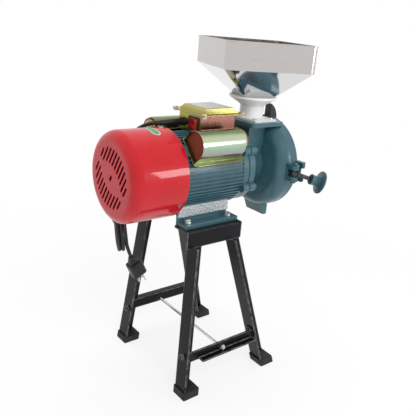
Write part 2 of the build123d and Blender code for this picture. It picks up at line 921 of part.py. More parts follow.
rocker_half = rocker_window / 2 - 2 * moving_gap
rocker_low = rocker_window_height / 2 - moving_gap
with BuildPart() as rocker:
    tilted = Plane((rocker_pivot, rocker_y, rocker_z), x_dir=(cos(rocker_tilt), sin(rocker_tilt), 0))
    with BuildSketch(tilted):
        with BuildLine():
            Polyline(
                (-rocker_rise, rocker_half * rocker_crest),
                (-rocker_rise * rocker_dip, 0),
                (-rocker_rise, -rocker_half * rocker_crest),
                (0, -rocker_half),
                (rocker_rise, -rocker_half * rocker_crest),
                (rocker_rise, rocker_half * rocker_crest),
                (0, rocker_half),
                close=True,
            )
        make_face()
    extrude(amount=rocker_low, both=True)
    with BuildSketch(tilted):
        Circle(pivot_radius)
    extrude(amount=rocker_window_height / 2 + pivot_length - moving_gap, both=True)
rocker.part.label = "rocker"
export_step(rocker.part, "parts/rocker.step")

terminal_x = box_middle + terminal_length / 2
with BuildPart() as terminal_block:
    with BuildSketch(Plane.XY.offset(box_bottom + box_wall)):
        with Locations((terminal_x, 0)):
            Rectangle(terminal_width, terminal_length)
    extrude(amount=terminal_height)
    with Locations((terminal_x, 0, box_bottom + box_wall + terminal_height)):
        with GridLocations(terminal_width / 2, terminal_length / 4, 2, 4):
            Hole(lid_screw / 2 + screw_fit, depth=terminal_height / 2)
terminal_block.part.label = "terminal_block"
export_step(terminal_block.part, "parts/terminal_block.step")

gland_nose = box_x - gland_length
with BuildPart() as cable_gland:
    with BuildSketch(across(box_x - gland_nut_length)):
        with Locations(gland_center):
            Circle(gland_nut)
    extrude(amount=gland_nut_length)
    with BuildSketch(across(gland_nose)):
        with Locations(gland_center):
            Circle(gland_thread)
    extrude(amount=gland_length + box_wall * 3)
    with BuildSketch(across(box_x + box_wall)):
        with Locations(gland_center):
            Circle(gland_nut)
    extrude(amount=box_wall * 2)
cable_gland.part.label = "cable_gland"
export_step(cable_gland.part, "parts/cable_gland.step")

# each capacitor lies on a flat seat of the frame, under a pressed cover open at the back
capacitors = []
for side_name, side in sides:
    lean = radians(cap_angle) * side
    outward = Vector(0, sin(lean), cos(lean))
    seat_origin = Vector(0, 0, shaft_height) + outward * cap_seat

    def cap_plane(x):
        """Square to the shaft at x, with Y of the plane pointing out from the frame."""
        origin = seat_origin + Vector(x, 0, 0)
        return Plane(origin=origin, x_dir=(0, cos(lean), -sin(lean)), z_dir=(1, 0, 0))

    # the far cover is turned end for end, with its closed end at the back
    way = -side
    cap_first = cap_start if way > 0 else far_cap_start
    open_end = frame_x + cap_first + (0 if way > 0 else cap_length)
    closed_end = open_end + way * cap_length
    flange_first = cap_first + cap_flange_start - cap_start
    flange_middle = -side * (cap_flange_high + cap_flange_low) / 2
    flange_wide = cap_flange_high - cap_flange_low
    inner = cap_half_width - cap_wall
    flange_face = Plane(
        origin=seat_origin + Vector(frame_x + flange_first + cap_flange_length / 2, 0, 0),
        x_dir=(1, 0, 0),
        z_dir=outward,
    )
    with BuildPart() as capacitor_cover:
        with BuildSketch(cap_plane(open_end)):
            with Locations((0, cap_straight)):
                Circle(cap_half_width)
            with Locations((0, cap_straight / 2)):
                Rectangle(2 * cap_half_width, cap_straight)
        extrude(amount=way * cap_length)
        with BuildSketch(cap_plane(open_end - way * cap_wall)):
            with Locations((0, -cap_half_width)):
                Rectangle(4 * cap_half_width, 2 * cap_half_width)
        extrude(amount=way * (cap_length + 2 * cap_wall), mode=Mode.SUBTRACT)
        end_face = capacitor_cover.faces().sort_by(lambda face: way * face.center().X)[-1]
        fillet(end_face.edges().sort_by(lambda edge: edge.center().dot(outward))[1:], radius=cap_round)
        with BuildSketch(flange_face):
            with Locations((0, flange_middle)):
                RectangleRounded(cap_flange_length, flange_wide, cap_wall * 5)
        extrude(amount=cap_wall)
        with BuildSketch(cap_plane(open_end - way * cap_wall)):
            with Locations((0, cap_straight)):
                Circle(inner)
            with Locations((0, (cap_straight + cap_wall) / 2)):
                Rectangle(2 * inner, cap_straight - cap_wall)
            with Locations((0, cap_wall - cap_half_width)):
                Rectangle(4 * inner, 2 * cap_half_width, mode=Mode.SUBTRACT)
        extrude(amount=way * cap_length, mode=Mode.SUBTRACT)
    capacitor_cover.part.label = f"capacitor_cover_{side_name}"
    export_step(capacitor_cover.part, f"parts/{capacitor_cover.part.label}.step")

    # each can carries a fibre board that fills the cover's open end
    can_end = closed_end - way * (cap_wall + capacitor_length)
    with BuildPart() as capacitor:
        with BuildSketch(cap_plane(can_end)):
            with Locations((0, capacitor_radius + cap_wall + screw_fit)):
                Circle(capacitor_radius)
        extrude(amount=way * capacitor_length)
        with BuildSketch(cap_plane(can_end)):
            with Locations((0, cap_straight)):
                Circle(inner - screw_fit)
            with Locations((0, (cap_straight + cap_wall) / 2)):
                Rectangle(2 * (inner - screw_fit), cap_straight - cap_wall)
            with Locations((0, cap_wall - cap_half_width)):
                Rectangle(4 * inner, 2 * cap_half_width, mode=Mode.SUBTRACT)
        extrude(amount=-way * cap_board)
    capacitors.append(capacitor.part)
keep_group("capacitors", capacitors)

# ---------------------------------------------------------------- mill
back_wall_x = frame_x + back_wall
rim_face = frame_x + rim_x
throat_middle = frame_x + throat_x
duct_middle = frame_x + (duct_rear + duct_front) / 2
duct_long = duct_front - duct_rear
chamber_start = frame_x + burr_floor
with BuildPart() as mill_housing:
    with BuildSketch(along):
        with BuildLine():
            Polyline(
                (rim_face - dish_band, rim_radius),
                (rim_face, rim_radius),
                (rim_face, 0),
                (mill_x, 0),
                (mill_x, shield_radius),
                (mill_x + mill_flange, shield_radius),
                (mill_x + mill_flange, neck_radius),
                (back_wall_x, neck_radius),
                (back_wall_x + dish_slope, rim_radius - dish_shoulder),
            )
            ThreePointArc(
                (back_wall_x + dish_slope, rim_radius - dish_shoulder),
                (back_wall_x + dish_mid, rim_radius - dish_mid_drop),
                (rim_face - dish_band, rim_radius),
            )
        make_face()
    revolve(axis=shaft_axis)
    with BuildSketch(across(mill_x)):
        for angle in lug_angles:
            with PolarLocations(lug_circle, 1, start_angle=90 + angle):
                Circle(lug_radius)
    extrude(amount=mill_flange)
    # the register that seats on the motor's front shield
    with BuildSketch(across(mill_x - mill_flange_gap)):
        Circle(neck_radius + front_shield)
    extrude(amount=mill_flange_gap)
    # throat plate and duct
    with BuildSketch(Plane.XY.offset(throat_top - throat_plate)):
        with Locations((throat_middle, 0)):
            RectangleRounded(2 * throat_half_x, 2 * throat_half_y, throat_plate)
    extrude(amount=throat_plate)
    with BuildSketch(Plane.XY.offset(shaft_height)):
        with Locations((duct_middle, 0)):
            Rectangle(duct_long + 2 * duct_wall, 2 * (duct_half_y + duct_wall))
    extrude(amount=throat_top - throat_plate - shaft_height)
    # clevis lugs for the clamp pins
    with BuildSketch(Plane.XY.offset(shaft_height - clevis_gap - clevis_wall)):
        for side_name, side in sides:
            with Locations((frame_x + clamp_x, side * clamp_y)):
                Circle(clevis_half)
            with Locations((frame_x + clamp_x, side * (clamp_y - clevis_half))):
                Rectangle(2 * clevis_half, 2 * clevis_half)
    extrude(amount=2 * (clevis_gap + clevis_wall))
    with BuildSketch(Plane.XY.offset(shaft_height - clevis_gap)):
        for side_name, side in sides:
            with Locations((frame_x + clamp_x, side * (rim_radius + 2 * clevis_half + clevis_root))):
                Rectangle(4 * clevis_half, 4 * clevis_half)
    extrude(amount=2 * clevis_gap, mode=Mode.SUBTRACT)
    with BuildSketch(Plane.XY.offset(shaft_height - clevis_gap - clevis_wall)):
        for side_name, side in sides:
            with Locations((frame_x + clamp_x, side * clamp_y)):
                Circle(clamp_pin + running_fit)
    extrude(amount=2 * (clevis_gap + clevis_wall), mode=Mode.SUBTRACT)
    # chute cheeks and sloping back
    chute_plane = Plane(origin=(0, 0, 0), x_dir=(1, 0, 0), z_dir=(0, -1, 0))
    with BuildSketch(chute_plane):
        with BuildLine():
            Polyline(
                (frame_x + chute_rear, chute_top),
                (frame_x + chute_lip, chute_bottom),
                (frame_x + chute_front, chute_bottom),
                (frame_x + chute_front, chute_front_top),
                (rim_face, chute_front_top),
                (rim_face, chute_top),
                close=True,
            )
        make_face()
    extrude(amount=chute_half_width, both=True)
    # flat top of the dish under the neck
    with BuildSketch(Plane.XY.offset(throat_top)):
        with Locations((frame_x + back_wall, 0)):
            Rectangle(4 * throat_half_x, 4 * throat_half_y)
    extrude(amount=rim_radius, mode=Mode.SUBTRACT)
    # inside: shaft hole, auger bore, burr chamber, throat, chute
    with BuildSketch(across(mill_x - mill_flange_gap)):
        Circle(front_bearing_bore + shaft_hole_gap)
    extrude(amount=mill_flange + mill_flange_gap + duct_wall, mode=Mode.SUBTRACT)
    with BuildSketch(across(mill_x + mill_flange + duct_wall)):
        Circle(auger_bore)
    extrude(amount=rim_face - mill_x - mill_flange, mode=Mode.SUBTRACT)
    with BuildSketch(across(chamber_start)):
        Circle(burr_bore)
    extrude(amount=rim_face - chamber_start, mode=Mode.SUBTRACT)
    with BuildSketch(Plane.XY.offset(shaft_height)):
        with Locations((duct_middle, 0)):
            Rectangle(duct_long, 2 * duct_half_y)
    extrude(amount=throat_top - throat_plate - shaft_height, mode=Mode.SUBTRACT)
    with BuildSketch(Plane.XY.offset(throat_top)):
        with Locations((throat_middle, 0)):
            Circle(neck_bore)
    extrude(amount=-throat_plate, mode=Mode.SUBTRACT)
    with BuildSketch(chute_plane):
        with BuildLine():
            Polyline(
                (frame_x + chute_rear + chute_wall, shaft_height - burr_bore / 2),
                (frame_x + chute_rear + chute_wall, chute_top),
                (frame_x + chute_lip + chute_wall, chute_bottom),
                (frame_x + chute_front, chute_bottom),
                (frame_x + chute_front, shaft_height - burr_bore / 2),
                close=True,
            )
        make_face()
    extrude(amount=chute_half_width - chute_wall, both=True, mode=Mode.SUBTRACT)
    with BuildSketch(across(mill_x)):
        for angle in lug_angles:
            with PolarLocations(lug_circle, 1, start_angle=90 + angle):
                Circle(flange_bolt + screw_fit)
    extrude(amount=mill_flange, mode=Mode.SUBTRACT)
    with Locations((throat_middle, 0, throat_top)):
        with GridLocations(2 * neck_screw_x, 2 * neck_screw_y, 2, 2):
            Hole(neck_screw, depth=throat_plate)
mill_housing.part.label = "mill_housing"
export_step(mill_housing.part, "parts/mill_housing.step")

flange_bolts = []
for angle in lug_angles:
    lug = Vector(0, -sin(radians(angle)), cos(radians(angle))) * lug_circle
    seat = Plane(
        origin=Vector(mill_x + mill_flange, 0, shaft_height) + lug, x_dir=(0, 1, 0), z_dir=(1, 0, 0)
    )
    flange_bolts.append(
        hex_bolt(seat, flange_bolt, mill_flange + mill_flange_gap + front_shield)
    )
keep_group("flange_bolts", flange_bolts)

auger_start = mill_x + mill_flange + duct_wall + moving_gap
auger_length = chamber_start - auger_start
with BuildPart() as feed_auger:
    with BuildSketch(across(auger_start)):
        Circle(auger_sleeve)
    extrude(amount=auger_length)
    with BuildLine():
        spiral = Helix(
            pitch=auger_pitch,
            height=auger_length - 2 * auger_flight,
            radius=auger_sleeve,
            center=(auger_start + auger_flight, 0, shaft_height),
            direction=(1, 0, 0),
        )
    flight_out = (spiral @ 0) - Vector(auger_start + auger_flight, 0, shaft_height)
    flight_plane = Plane(origin=spiral @ 0, x_dir=flight_out, z_dir=spiral % 0)
    with BuildSketch(flight_plane):
        with Locations(((auger_radius - auger_sleeve) / 2 - 1, 0)):
            Rectangle(auger_radius - auger_sleeve + 2, auger_flight)
    sweep(path=spiral, is_frenet=True)
    with BuildSketch(across(auger_start)):
        Circle(auger_shaft)
    extrude(amount=auger_length, mode=Mode.SUBTRACT)
feed_auger.part.label = "feed_auger"
export_step(feed_auger.part, "parts/feed_auger.step")

with BuildPart() as rotating_burr:
    with BuildSketch(across(burr_back)):
        Circle(burr_radius)
        Circle(burr_eye, mode=Mode.SUBTRACT)
        Circle(auger_shaft + burr_hub_wall)
        with PolarLocations((burr_eye + auger_shaft) / 2, burr_spokes):
            Rectangle(burr_eye - auger_shaft, burr_hub_wall)
        Circle(auger_shaft, mode=Mode.SUBTRACT)
    extrude(amount=burr_thickness)
    with BuildSketch(across(burr_back + burr_thickness)):
        with PolarLocations((burr_radius + burr_eye) / 2 + burr_groove, burr_grooves, start_angle=5):
            Rectangle(burr_radius - burr_eye, burr_groove, rotation=burr_groove_slant)
    extrude(amount=-burr_groove, mode=Mode.SUBTRACT)
rotating_burr.part.label = "rotating_burr"
export_step(rotating_burr.part, "parts/rotating_burr.step")

burr_face = burr_back + burr_thickness
with BuildPart() as burr_nut:
    with BuildSketch(across(burr_face)):
        RegularPolygon(auger_shaft + burr_hub_wall / 2, 6)
    extrude(amount=burr_nut_height)
burr_nut.part.label = "burr_nut"
export_step(burr_nut.part, "parts/burr_nut.step")

fixed_x = frame_x + fixed_burr_start
cover_back = rim_face + moving_gap
with BuildPart() as fixed_burr:
    with BuildSketch(across(fixed_x)):
        Circle(burr_radius)
        Circle(burr_eye, mode=Mode.SUBTRACT)
    extrude(amount=cover_back - fixed_x)
    with BuildSketch(across(fixed_x)):
        with PolarLocations((burr_radius + burr_eye) / 2 + burr_groove, burr_grooves):
            Rectangle(burr_radius - burr_eye, burr_groove, rotation=burr_groove_slant)
    extrude(amount=burr_groove, mode=Mode.SUBTRACT)
fixed_burr.part.label = "fixed_burr"
export_step(fixed_burr.part, "parts/fixed_burr.step")

with BuildPart() as front_cover:
    with BuildSketch(along):
        with BuildLine():
            Polyline(
                (cover_back, 0),
                (cover_back, rim_radius),
                (cover_back + front_rim, rim_radius),
                (cover_back + front_depth, rim_radius - front_round),
                (cover_back + front_depth, front_boss),
                (cover_back + front_depth + front_boss_depth, front_boss - front_boss_depth),
                (cover_back + front_depth + front_boss_depth, 0),
                close=True,
            )
        make_face()
    revolve(axis=shaft_axis)
    # fork prongs for the swing bolts
    with BuildSketch(across(frame_x + fork_start)):
        for side_name, side in sides:
            with Locations((side * (fork_reach + front_boss) / 2, 0)):
                Rectangle(fork_reach - front_boss, 2 * fork_height)
    extrude(amount=fork_front - fork_start)
    outer_edges = front_cover.edges().filter_by(Axis.Z).group_by(Axis.X)[-1]
    fillet([edge for edge in outer_edges if abs(edge.center().Y) > fork_reach - 1], radius=fork_round)
    with BuildSketch(across(cover_back)):
        for side_name, side in sides:
            with BuildLine():
                Polyline(
                    (side * (clamp_y - fork_root), fork_slot),
                    (side * (fork_reach + 1), fork_mouth),
                    (side * (fork_reach + 1), -fork_mouth),
                    (side * (clamp_y - fork_root), -fork_slot),
                    close=True,
                )
            make_face()
    extrude(amount=fork_front - frame_x, mode=Mode.SUBTRACT)
    # hollow behind the boss
    with BuildSketch(across(cover_back)):
        Circle(burr_eye - moving_gap)
    extrude(amount=front_boss_depth, mode=Mode.SUBTRACT)
front_cover.part.label = "front_cover"
export_step(front_cover.part, "parts/front_cover.step")

burr_screws = []
screw_circle = (burr_eye + burr_radius) / 2
for turn in range(burr_screw_count):
    angle = radians(360 / burr_screw_count * (turn + 0.5))
    seat = Vector(cover_back + front_depth, screw_circle * sin(angle), shaft_height + screw_circle * cos(angle))
    with BuildPart() as burr_screw:
        with BuildSketch(Plane(origin=seat, x_dir=(0, 1, 0), z_dir=(1, 0, 0))):
            RegularPolygon(neck_screw * 2, 6)
        extrude(amount=neck_screw * 1.5)
    burr_screws.append(burr_screw.part)
keep_group("fixed_burr_screws", burr_screws)

grip_plane = Plane(origin=(0, 0, 0), x_dir=(1, 0, 0), z_dir=(0, -1, 0))
with BuildPart() as cover_grip:
    with BuildSketch(grip_plane):
        with BuildLine():
            top = shaft_height + rim_radius + grip_height
            low = shaft_height + rim_radius - grip_seat
            Polyline((cover_back + grip_length, low), (cover_back, low), (cover_back, top))
            RadiusArc((cover_back, top), (cover_back + grip_length, low), grip_radius)
        make_face()
    extrude(amount=grip_half_width, both=True)
    with BuildSketch(along):
        with BuildLine():
            Polyline(
                (cover_back - 1, 0),
                (cover_back - 1, rim_radius),
                (cover_back + front_rim, rim_radius),
                (cover_back + front_depth, rim_radius - front_round),
                (cover_back + front_depth, 0),
                close=True,
            )
        make_face()
    revolve(axis=shaft_axis, mode=Mode.SUBTRACT)
cover_grip.part.label = "cover_grip"
export_step(cover_grip.part, "parts/cover_grip.step")

# ---------------------------------------------------------------- clamps
for side_name, side in sides:
    pivot = Vector(frame_x + clamp_x, side * clamp_y, shaft_height)
    swing = radians(swing_angle)
    droop = radians(droop_angle)
    level = Vector(cos(swing), side * sin(swing), 0)
    rod = level * cos(droop) - Vector(0, 0, sin(droop))
    rod_up = level * sin(droop) + Vector(0, 0, cos(droop))

    def on_rod(reach):
        """Square to the rod at a distance from the pin."""
        return Plane(origin=pivot + rod * reach, x_dir=rod_up, z_dir=rod)

    pin_half = clevis_gap + clevis_wall + moving_gap
    with BuildPart() as clamp_pin_piece:
        with BuildSketch(Plane(pivot)):
            Circle(clamp_pin)
        extrude(amount=pin_half, both=True)
        with BuildSketch(Plane(pivot + Vector(0, 0, pin_half))):
            Circle(pin_head)
        extrude(amount=pin_head_height)
        with BuildSketch(Plane(pivot - Vector(0, 0, pin_half))):
            Circle(pin_head)
        extrude(amount=-pin_head_height)
    clamp_pin_piece.part.label = f"clamp_pin_{side_name}"
    export_step(clamp_pin_piece.part, f"parts/{clamp_pin_piece.part.label}.step")

    with BuildPart() as swing_bolt:
        with BuildSketch(Plane(origin=pivot, x_dir=rod, z_dir=rod_up)):
            Circle(eye_radius)
        extrude(amount=eye_thickness / 2, both=True)
        with BuildSketch(on_rod(eye_hole + 1)):
            Circle(bolt_radius)
        extrude(amount=nut_reach + bolt_in_nut - eye_hole - 1)
        with BuildSketch(Plane(origin=pivot, x_dir=rod, z_dir=rod_up)):
            Circle(eye_hole)
        extrude(amount=eye_thickness, both=True, mode=Mode.SUBTRACT)
    swing_bolt.part.label = f"swing_bolt_{side_name}"
    export_step(swing_bolt.part, f"parts/{swing_bolt.part.label}.step")

    with BuildPart() as clamp_washer:
        with BuildSketch(on_rod(nut_reach - moving_gap - washer_thickness)):
            Circle(washer_radius)
            Circle(bolt_radius + 2 * running_fit, mode=Mode.SUBTRACT)
        extrude(amount=washer_thickness)
    clamp_washer.part.label = f"clamp_washer_{side_name}"
    export_step(clamp_washer.part, f"parts/{clamp_washer.part.label}.step")

    with BuildPart() as hand_nut:
        nut_start = pivot + rod * nut_reach
        disc_front = nut_hub_length + 2 * nut_edge
        with BuildSketch(Plane(origin=nut_start, x_dir=rod, z_dir=rod_up)):
            with BuildLine():
                Polyline(
                    (disc_front + nut_crown, 0),
                    (0, 0),
                    (0, nut_hub),
                    (nut_hub_length, nut_waist),
                    (nut_hub_length + nut_edge, nut_disc),
                    (disc_front, nut_disc),
                )
                RadiusArc((disc_front, nut_disc), (disc_front + nut_crown, 0), nut_dome)
            make_face()
        revolve(axis=Axis(nut_start, rod))
        with BuildSketch(on_rod(nut_reach)):
            Circle(bolt_radius + running_fit)
        extrude(amount=bolt_in_nut + nut_travel + 2 * moving_gap, mode=Mode.SUBTRACT)
    hand_nut.part.label = f"hand_nut_{side_name}"
    export_step(hand_nut.part, f"parts/{hand_nut.part.label}.step")

# ---------------------------------------------------------------- feed
neck_x = throat_middle
with BuildPart() as feed_neck:
    with BuildSketch(Plane.XY.offset(throat_top)):
        with Locations((neck_x, 0)):
            RectangleRounded(2 * neck_half_x, 2 * neck_half_y, neck_plate)
    extrude(amount=neck_plate)
    with BuildSketch(Plane(origin=(neck_x, 0, 0), x_dir=(1, 0, 0), z_dir=(0, -1, 0))):
        with BuildLine():
            Polyline(
                (0, throat_top),
                (neck_tube, throat_top),
                (neck_tube, neck_top - neck_rim - neck_flare_height),
                (neck_flare, neck_top - neck_rim),
                (neck_flare, neck_top),
                (0, neck_top),
                close=True,
            )
        make_face()
    revolve(axis=Axis((neck_x, 0, 0), (0, 0, 1)))
    with BuildSketch(Plane.XY.offset(throat_top)):
        with Locations((neck_x, 0)):
            Circle(neck_bore)
    extrude(amount=neck_top - throat_top, mode=Mode.SUBTRACT)
    with Locations((neck_x, 0, throat_top + neck_plate)):
        with GridLocations(2 * neck_screw_x, 2 * neck_screw_y, 2, 2):
            Hole(neck_screw, depth=neck_plate)
feed_neck.part.label = "feed_neck"
export_step(feed_neck.part, "parts/feed_neck.step")

neck_screws = []
for corner_x in (-neck_screw_x, neck_screw_x):
    for corner_y in (-neck_screw_y, neck_screw_y):
        seat = Plane((neck_x + corner_x, corner_y, throat_top + neck_plate))
        with BuildPart() as screw:
            with BuildSketch(seat):
                Circle(neck_screw)
            extrude(amount=-(neck_plate + throat_plate))
            with BuildSketch(seat):
                Circle(neck_screw * 2)
            extrude(amount=neck_screw)
        neck_screws.append(screw.part)
keep_group("neck_screws", neck_screws)

hopper_foot = neck_top + moving_gap
turn = radians(hopper_turn)


def hopper_square(z, x, y, side):
    """A rounded square across the hopper at a height."""
    with BuildSketch(Plane(origin=(x, y, z), x_dir=(cos(turn), sin(turn), 0))) as square:
        RectangleRounded(side, side, min(hopper_corner, side / 8))
    return square


with BuildPart() as hopper:
    foot_square = hopper_square(hopper_foot, neck_x, 0, hopper_foot_side)
    band_square = hopper_square(hopper_band_bottom, frame_x + hopper_x, hopper_y, hopper_side)
    loft([foot_square.sketch.face(), band_square.sketch.face()])
    extrude(band_square.sketch.face(), amount=hopper_top - hopper_band_bottom)
    lip_square = hopper_square(hopper_top - hopper_lip, frame_x + hopper_x, hopper_y, hopper_side + hopper_lip)
    extrude(lip_square.sketch.face(), amount=hopper_lip)
    inside_foot = hopper_square(
        hopper_foot + hopper_wall, neck_x, 0, hopper_foot_side - 2 * hopper_wall
    )
    inside_band = hopper_square(
        hopper_band_bottom, frame_x + hopper_x, hopper_y, hopper_side - 2 * hopper_wall
    )
    loft([inside_foot.sketch.face(), inside_band.sketch.face()], mode=Mode.SUBTRACT)
    extrude(inside_band.sketch.face(), amount=hopper_top - hopper_band_bottom, mode=Mode.SUBTRACT)
    with BuildSketch(Plane((neck_x, 0, hopper_foot - hopper_spout))):
        Circle(neck_bore - moving_gap)
    extrude(amount=hopper_spout + hopper_wall / 2)
    with BuildSketch(Plane((neck_x, 0, hopper_foot - hopper_spout))):
        Circle(neck_bore - moving_gap - hopper_wall)
    extrude(amount=hopper_spout + 2 * hopper_wall, mode=Mode.SUBTRACT)
hopper.part.label = "hopper"
export_step(hopper.part, "parts/hopper.step")

# ---------------------------------------------------------------- cord
cord_radius = cord_diameter / 2
cord_points = [
    (gland_nose, gland_y, gland_z),
    (frame_x + 12.0, gland_y, gland_z),
    (frame_x + 2.0, 19.5, shaft_height + 83.0),
    (frame_x - 6.0, 28.0, shaft_height + 80.5),
    (frame_x - 11.0, 41.0, shaft_height + 74.5),
    (frame_x - 16.0, 56.0, shaft_height + 65.0),
    (frame_x - 22.0, 70.0, shaft_height + 52.0),
    (frame_x - 29.0, 80.5, shaft_height + 35.5),
    (frame_x - 36.0, 87.0, shaft_height + 16.0),
    (frame_x - 43.0, 88.5, shaft_height - 4.0),
    (frame_x - 48.0, 85.5, shaft_height - 24.0),
    (frame_x - 51.5, 79.0, shaft_height - 43.0),
    (frame_x - 52.9, 75.3, shaft_height - 52.7),
]
lead_points = [
    (frame_x - 37.8, 57.1, shaft_height - 149.3),
    (frame_x - 34.0, 59.4, shaft_height - 161.0),
    (frame_x - 29.2, 60.4, shaft_height - 172.5),
    (frame_x - 23.8, 60.6, shaft_height - 183.5),
]


def corner_radii(points):
    """Largest tangent arc that the two runs at each point allow."""
    radii = []
    for before, here, after in zip(points, points[1:], points[2:]):
        run_in = Vector(*here) - Vector(*before)
        run_out = Vector(*after) - Vector(*here)
        half_turn = radians(run_in.get_angle(run_out)) / 2
        radii.append(0.45 * min(run_in.length, run_out.length) / tan(half_turn))
    return radii


for name, points in (("cord", cord_points), ("cord_lead", lead_points)):
    radii = corner_radii(points)
    start = Vector(*points[1]) - Vector(*points[0])
    with BuildPart() as tube:
        with BuildLine() as route:
            FilletPolyline(*points, radius=radii)
        with BuildSketch(Plane(origin=points[0], z_dir=start)):
            Circle(cord_radius)
        sweep(path=route.wire())
    tube.part.label = name
    export_step(tube.part, f"parts/{name}.step")
    ideal = route.wire().length * pi * cord_radius**2
    print(name, "radii", [round(radius, 1) for radius in radii])
    print(name, "length", round(route.wire().length, 1), "volume share", round(tube.part.volume / ideal, 4))

# the wound cord hangs as one block, turned and leaning as its loops do
hank_way = Vector(cos(radians(hank_turn)), sin(radians(hank_turn)), 0)
hank_face = Vector(hank_way.Y, -hank_way.X, 0) * cos(radians(hank_lean)) + Vector(0, 0, sin(radians(hank_lean)))
hank_origin = (frame_x + hank_x, hank_y, shaft_height + hank_top)
with BuildPart() as cord_hank:
    with BuildSketch(Plane(origin=hank_origin, x_dir=hank_way, z_dir=hank_face)):
        with Locations((0, -hank_height / 2)):
            RectangleRounded(hank_width, hank_height, hank_round)
    extrude(amount=hank_depth / 2, both=True)
cord_hank.part.label = "cord_hank"
export_step(cord_hank.part, "parts/cord_hank.step")

plug_start = Vector(*lead_points[-1])
plug_way = (plug_start - Vector(*lead_points[-2])).normalized()


def on_plug(reach):
    """Square to the plug at a distance from its tail."""
    return Plane(origin=plug_start + plug_way * reach, x_dir=(0, 1, 0), z_dir=plug_way)


with BuildPart() as plug_body:
    with BuildSketch(on_plug(0)):
        Circle(cord_radius + plug_skin)
    with BuildSketch(on_plug(plug_tail)):
        RectangleRounded(plug_width / 2, plug_depth, plug_skin)
    loft()
    with BuildSketch(on_plug(plug_tail)):
        RectangleRounded(plug_depth, plug_width, plug_round)
    extrude(amount=plug_length)
plug_body.part.label = "plug_body"
export_step(plug_body.part, "parts/plug_body.step")

blades = []
blade_places = (
    (-blade_space, 0, 90),
    (blade_space, -blade_space, 30),
    (blade_space, blade_space, -30),
)
for blade_x, blade_y, blade_turn in blade_places:
    with BuildPart() as blade:
        with BuildSketch(on_plug(plug_tail + plug_length)):
            with Locations((blade_y, blade_x)):
                Rectangle(blade_width, blade_thickness, rotation=blade_turn)
        extrude(amount=blade_length)
    blades.append(blade.part)
keep_group("plug_blades", blades)
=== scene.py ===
import json
import math

import bmesh
import bpy
from mathutils import Matrix, Vector


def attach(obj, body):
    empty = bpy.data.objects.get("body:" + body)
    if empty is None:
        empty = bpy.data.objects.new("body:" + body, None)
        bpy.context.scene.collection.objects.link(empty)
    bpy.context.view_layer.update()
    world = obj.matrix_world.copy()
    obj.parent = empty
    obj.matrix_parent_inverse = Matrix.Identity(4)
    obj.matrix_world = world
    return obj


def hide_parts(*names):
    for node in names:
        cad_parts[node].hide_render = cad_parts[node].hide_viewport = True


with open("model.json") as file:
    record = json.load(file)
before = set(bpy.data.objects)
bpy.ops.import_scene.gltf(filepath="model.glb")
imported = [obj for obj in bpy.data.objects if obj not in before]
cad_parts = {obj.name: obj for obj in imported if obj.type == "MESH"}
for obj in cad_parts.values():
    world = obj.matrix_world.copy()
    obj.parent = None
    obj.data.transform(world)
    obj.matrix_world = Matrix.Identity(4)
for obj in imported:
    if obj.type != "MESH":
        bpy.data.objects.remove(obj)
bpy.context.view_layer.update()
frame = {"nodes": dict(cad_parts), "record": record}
nodes = frame["nodes"]
scene = bpy.context.scene
frameX = -0.0978
shaftZ = 0.401
print("frame loaded:", len(nodes), "nodes")


# Camera and lamps
cameraSet = {
    "place": (-0.6058, -0.7428, 0.6580), "turn": -39.7, "tilt": 70.5, "roll": 4.86,
    "lens": 45.78, "sensor": 36, "clip": 60,
}
cameraData = bpy.data.cameras.new("camera")
cameraData.lens = cameraSet["lens"]
cameraData.sensor_width = cameraSet["sensor"]
cameraData.clip_end = cameraSet["clip"]
camera = bpy.data.objects.new("camera", cameraData)
camera.matrix_world = (
    Matrix.Translation(cameraSet["place"])
    @ Matrix.Rotation(math.radians(cameraSet["turn"]), 4, "Z")
    @ Matrix.Rotation(math.radians(cameraSet["tilt"]), 4, "X")
    @ Matrix.Rotation(math.radians(cameraSet["roll"]), 4, "Z")
)
scene.collection.objects.link(camera)
scene.camera = camera
scene.view_settings.view_transform = "Standard"

# A mirrored lamp also shows in shiny pieces
lamps = {
    "keyBox": {
        "place": (-0.5, -1.75, 1.95), "aim": (0, 0, 0.4), "size": (1.2, 1.0), "watts": 25, "mirrored": False,
    },
    "bandBox": {
        "place": (0.81, -1.33, 0.70), "aim": (-0.15, -0.075, 0.43), "size": (0.28, 0.40), "watts": 4.2,
        "mirrored": True,
    },
    "topBox": {
        "place": (0.1, 0.5, 2.1), "aim": (0, 0, 0.4), "size": (1.4, 1.0), "watts": 12, "mirrored": False,
    },
}
for name, box in lamps.items():
    lampData = bpy.data.lights.new(name, "AREA")
    lampData.shape = "RECTANGLE"
    lampData.size, lampData.size_y = box["size"]
    lampData.energy = box["watts"]
    lamp = bpy.data.objects.new(name, lampData)
    aim = Vector(box["aim"]) - Vector(box["place"])
    lamp.visible_glossy = box["mirrored"]
    lamp.matrix_world = Matrix.Translation(box["place"]) @ aim.to_track_quat("-Z", "Y").to_matrix().to_4x4()
    scene.collection.objects.link(lamp)


# Node helpers
def addNode(tree, kind, **settings):
    made = tree.nodes.new("ShaderNode" + kind)
    for key, value in settings.items():
        setattr(made, key, value)
    return made


def placed(tree, stretch=(1, 1, 1)):
    # Object coordinates, stretched along the piece's own axes
    coords = addNode(tree, "TexCoord")
    mapping = addNode(tree, "Mapping")
    mapping.inputs["Scale"].default_value = stretch
    tree.links.new(coords.outputs["Object"], mapping.inputs["Vector"])
    return mapping.outputs["Vector"]


def noise(tree, vector, scale, detail=3.0, rough=0.55):
    made = addNode(tree, "TexNoise")
    made.inputs["Scale"].default_value = scale
    made.inputs["Detail"].default_value = detail
    made.inputs["Roughness"].default_value = rough
    tree.links.new(vector, made.inputs["Vector"])
    return made.outputs["Fac"]


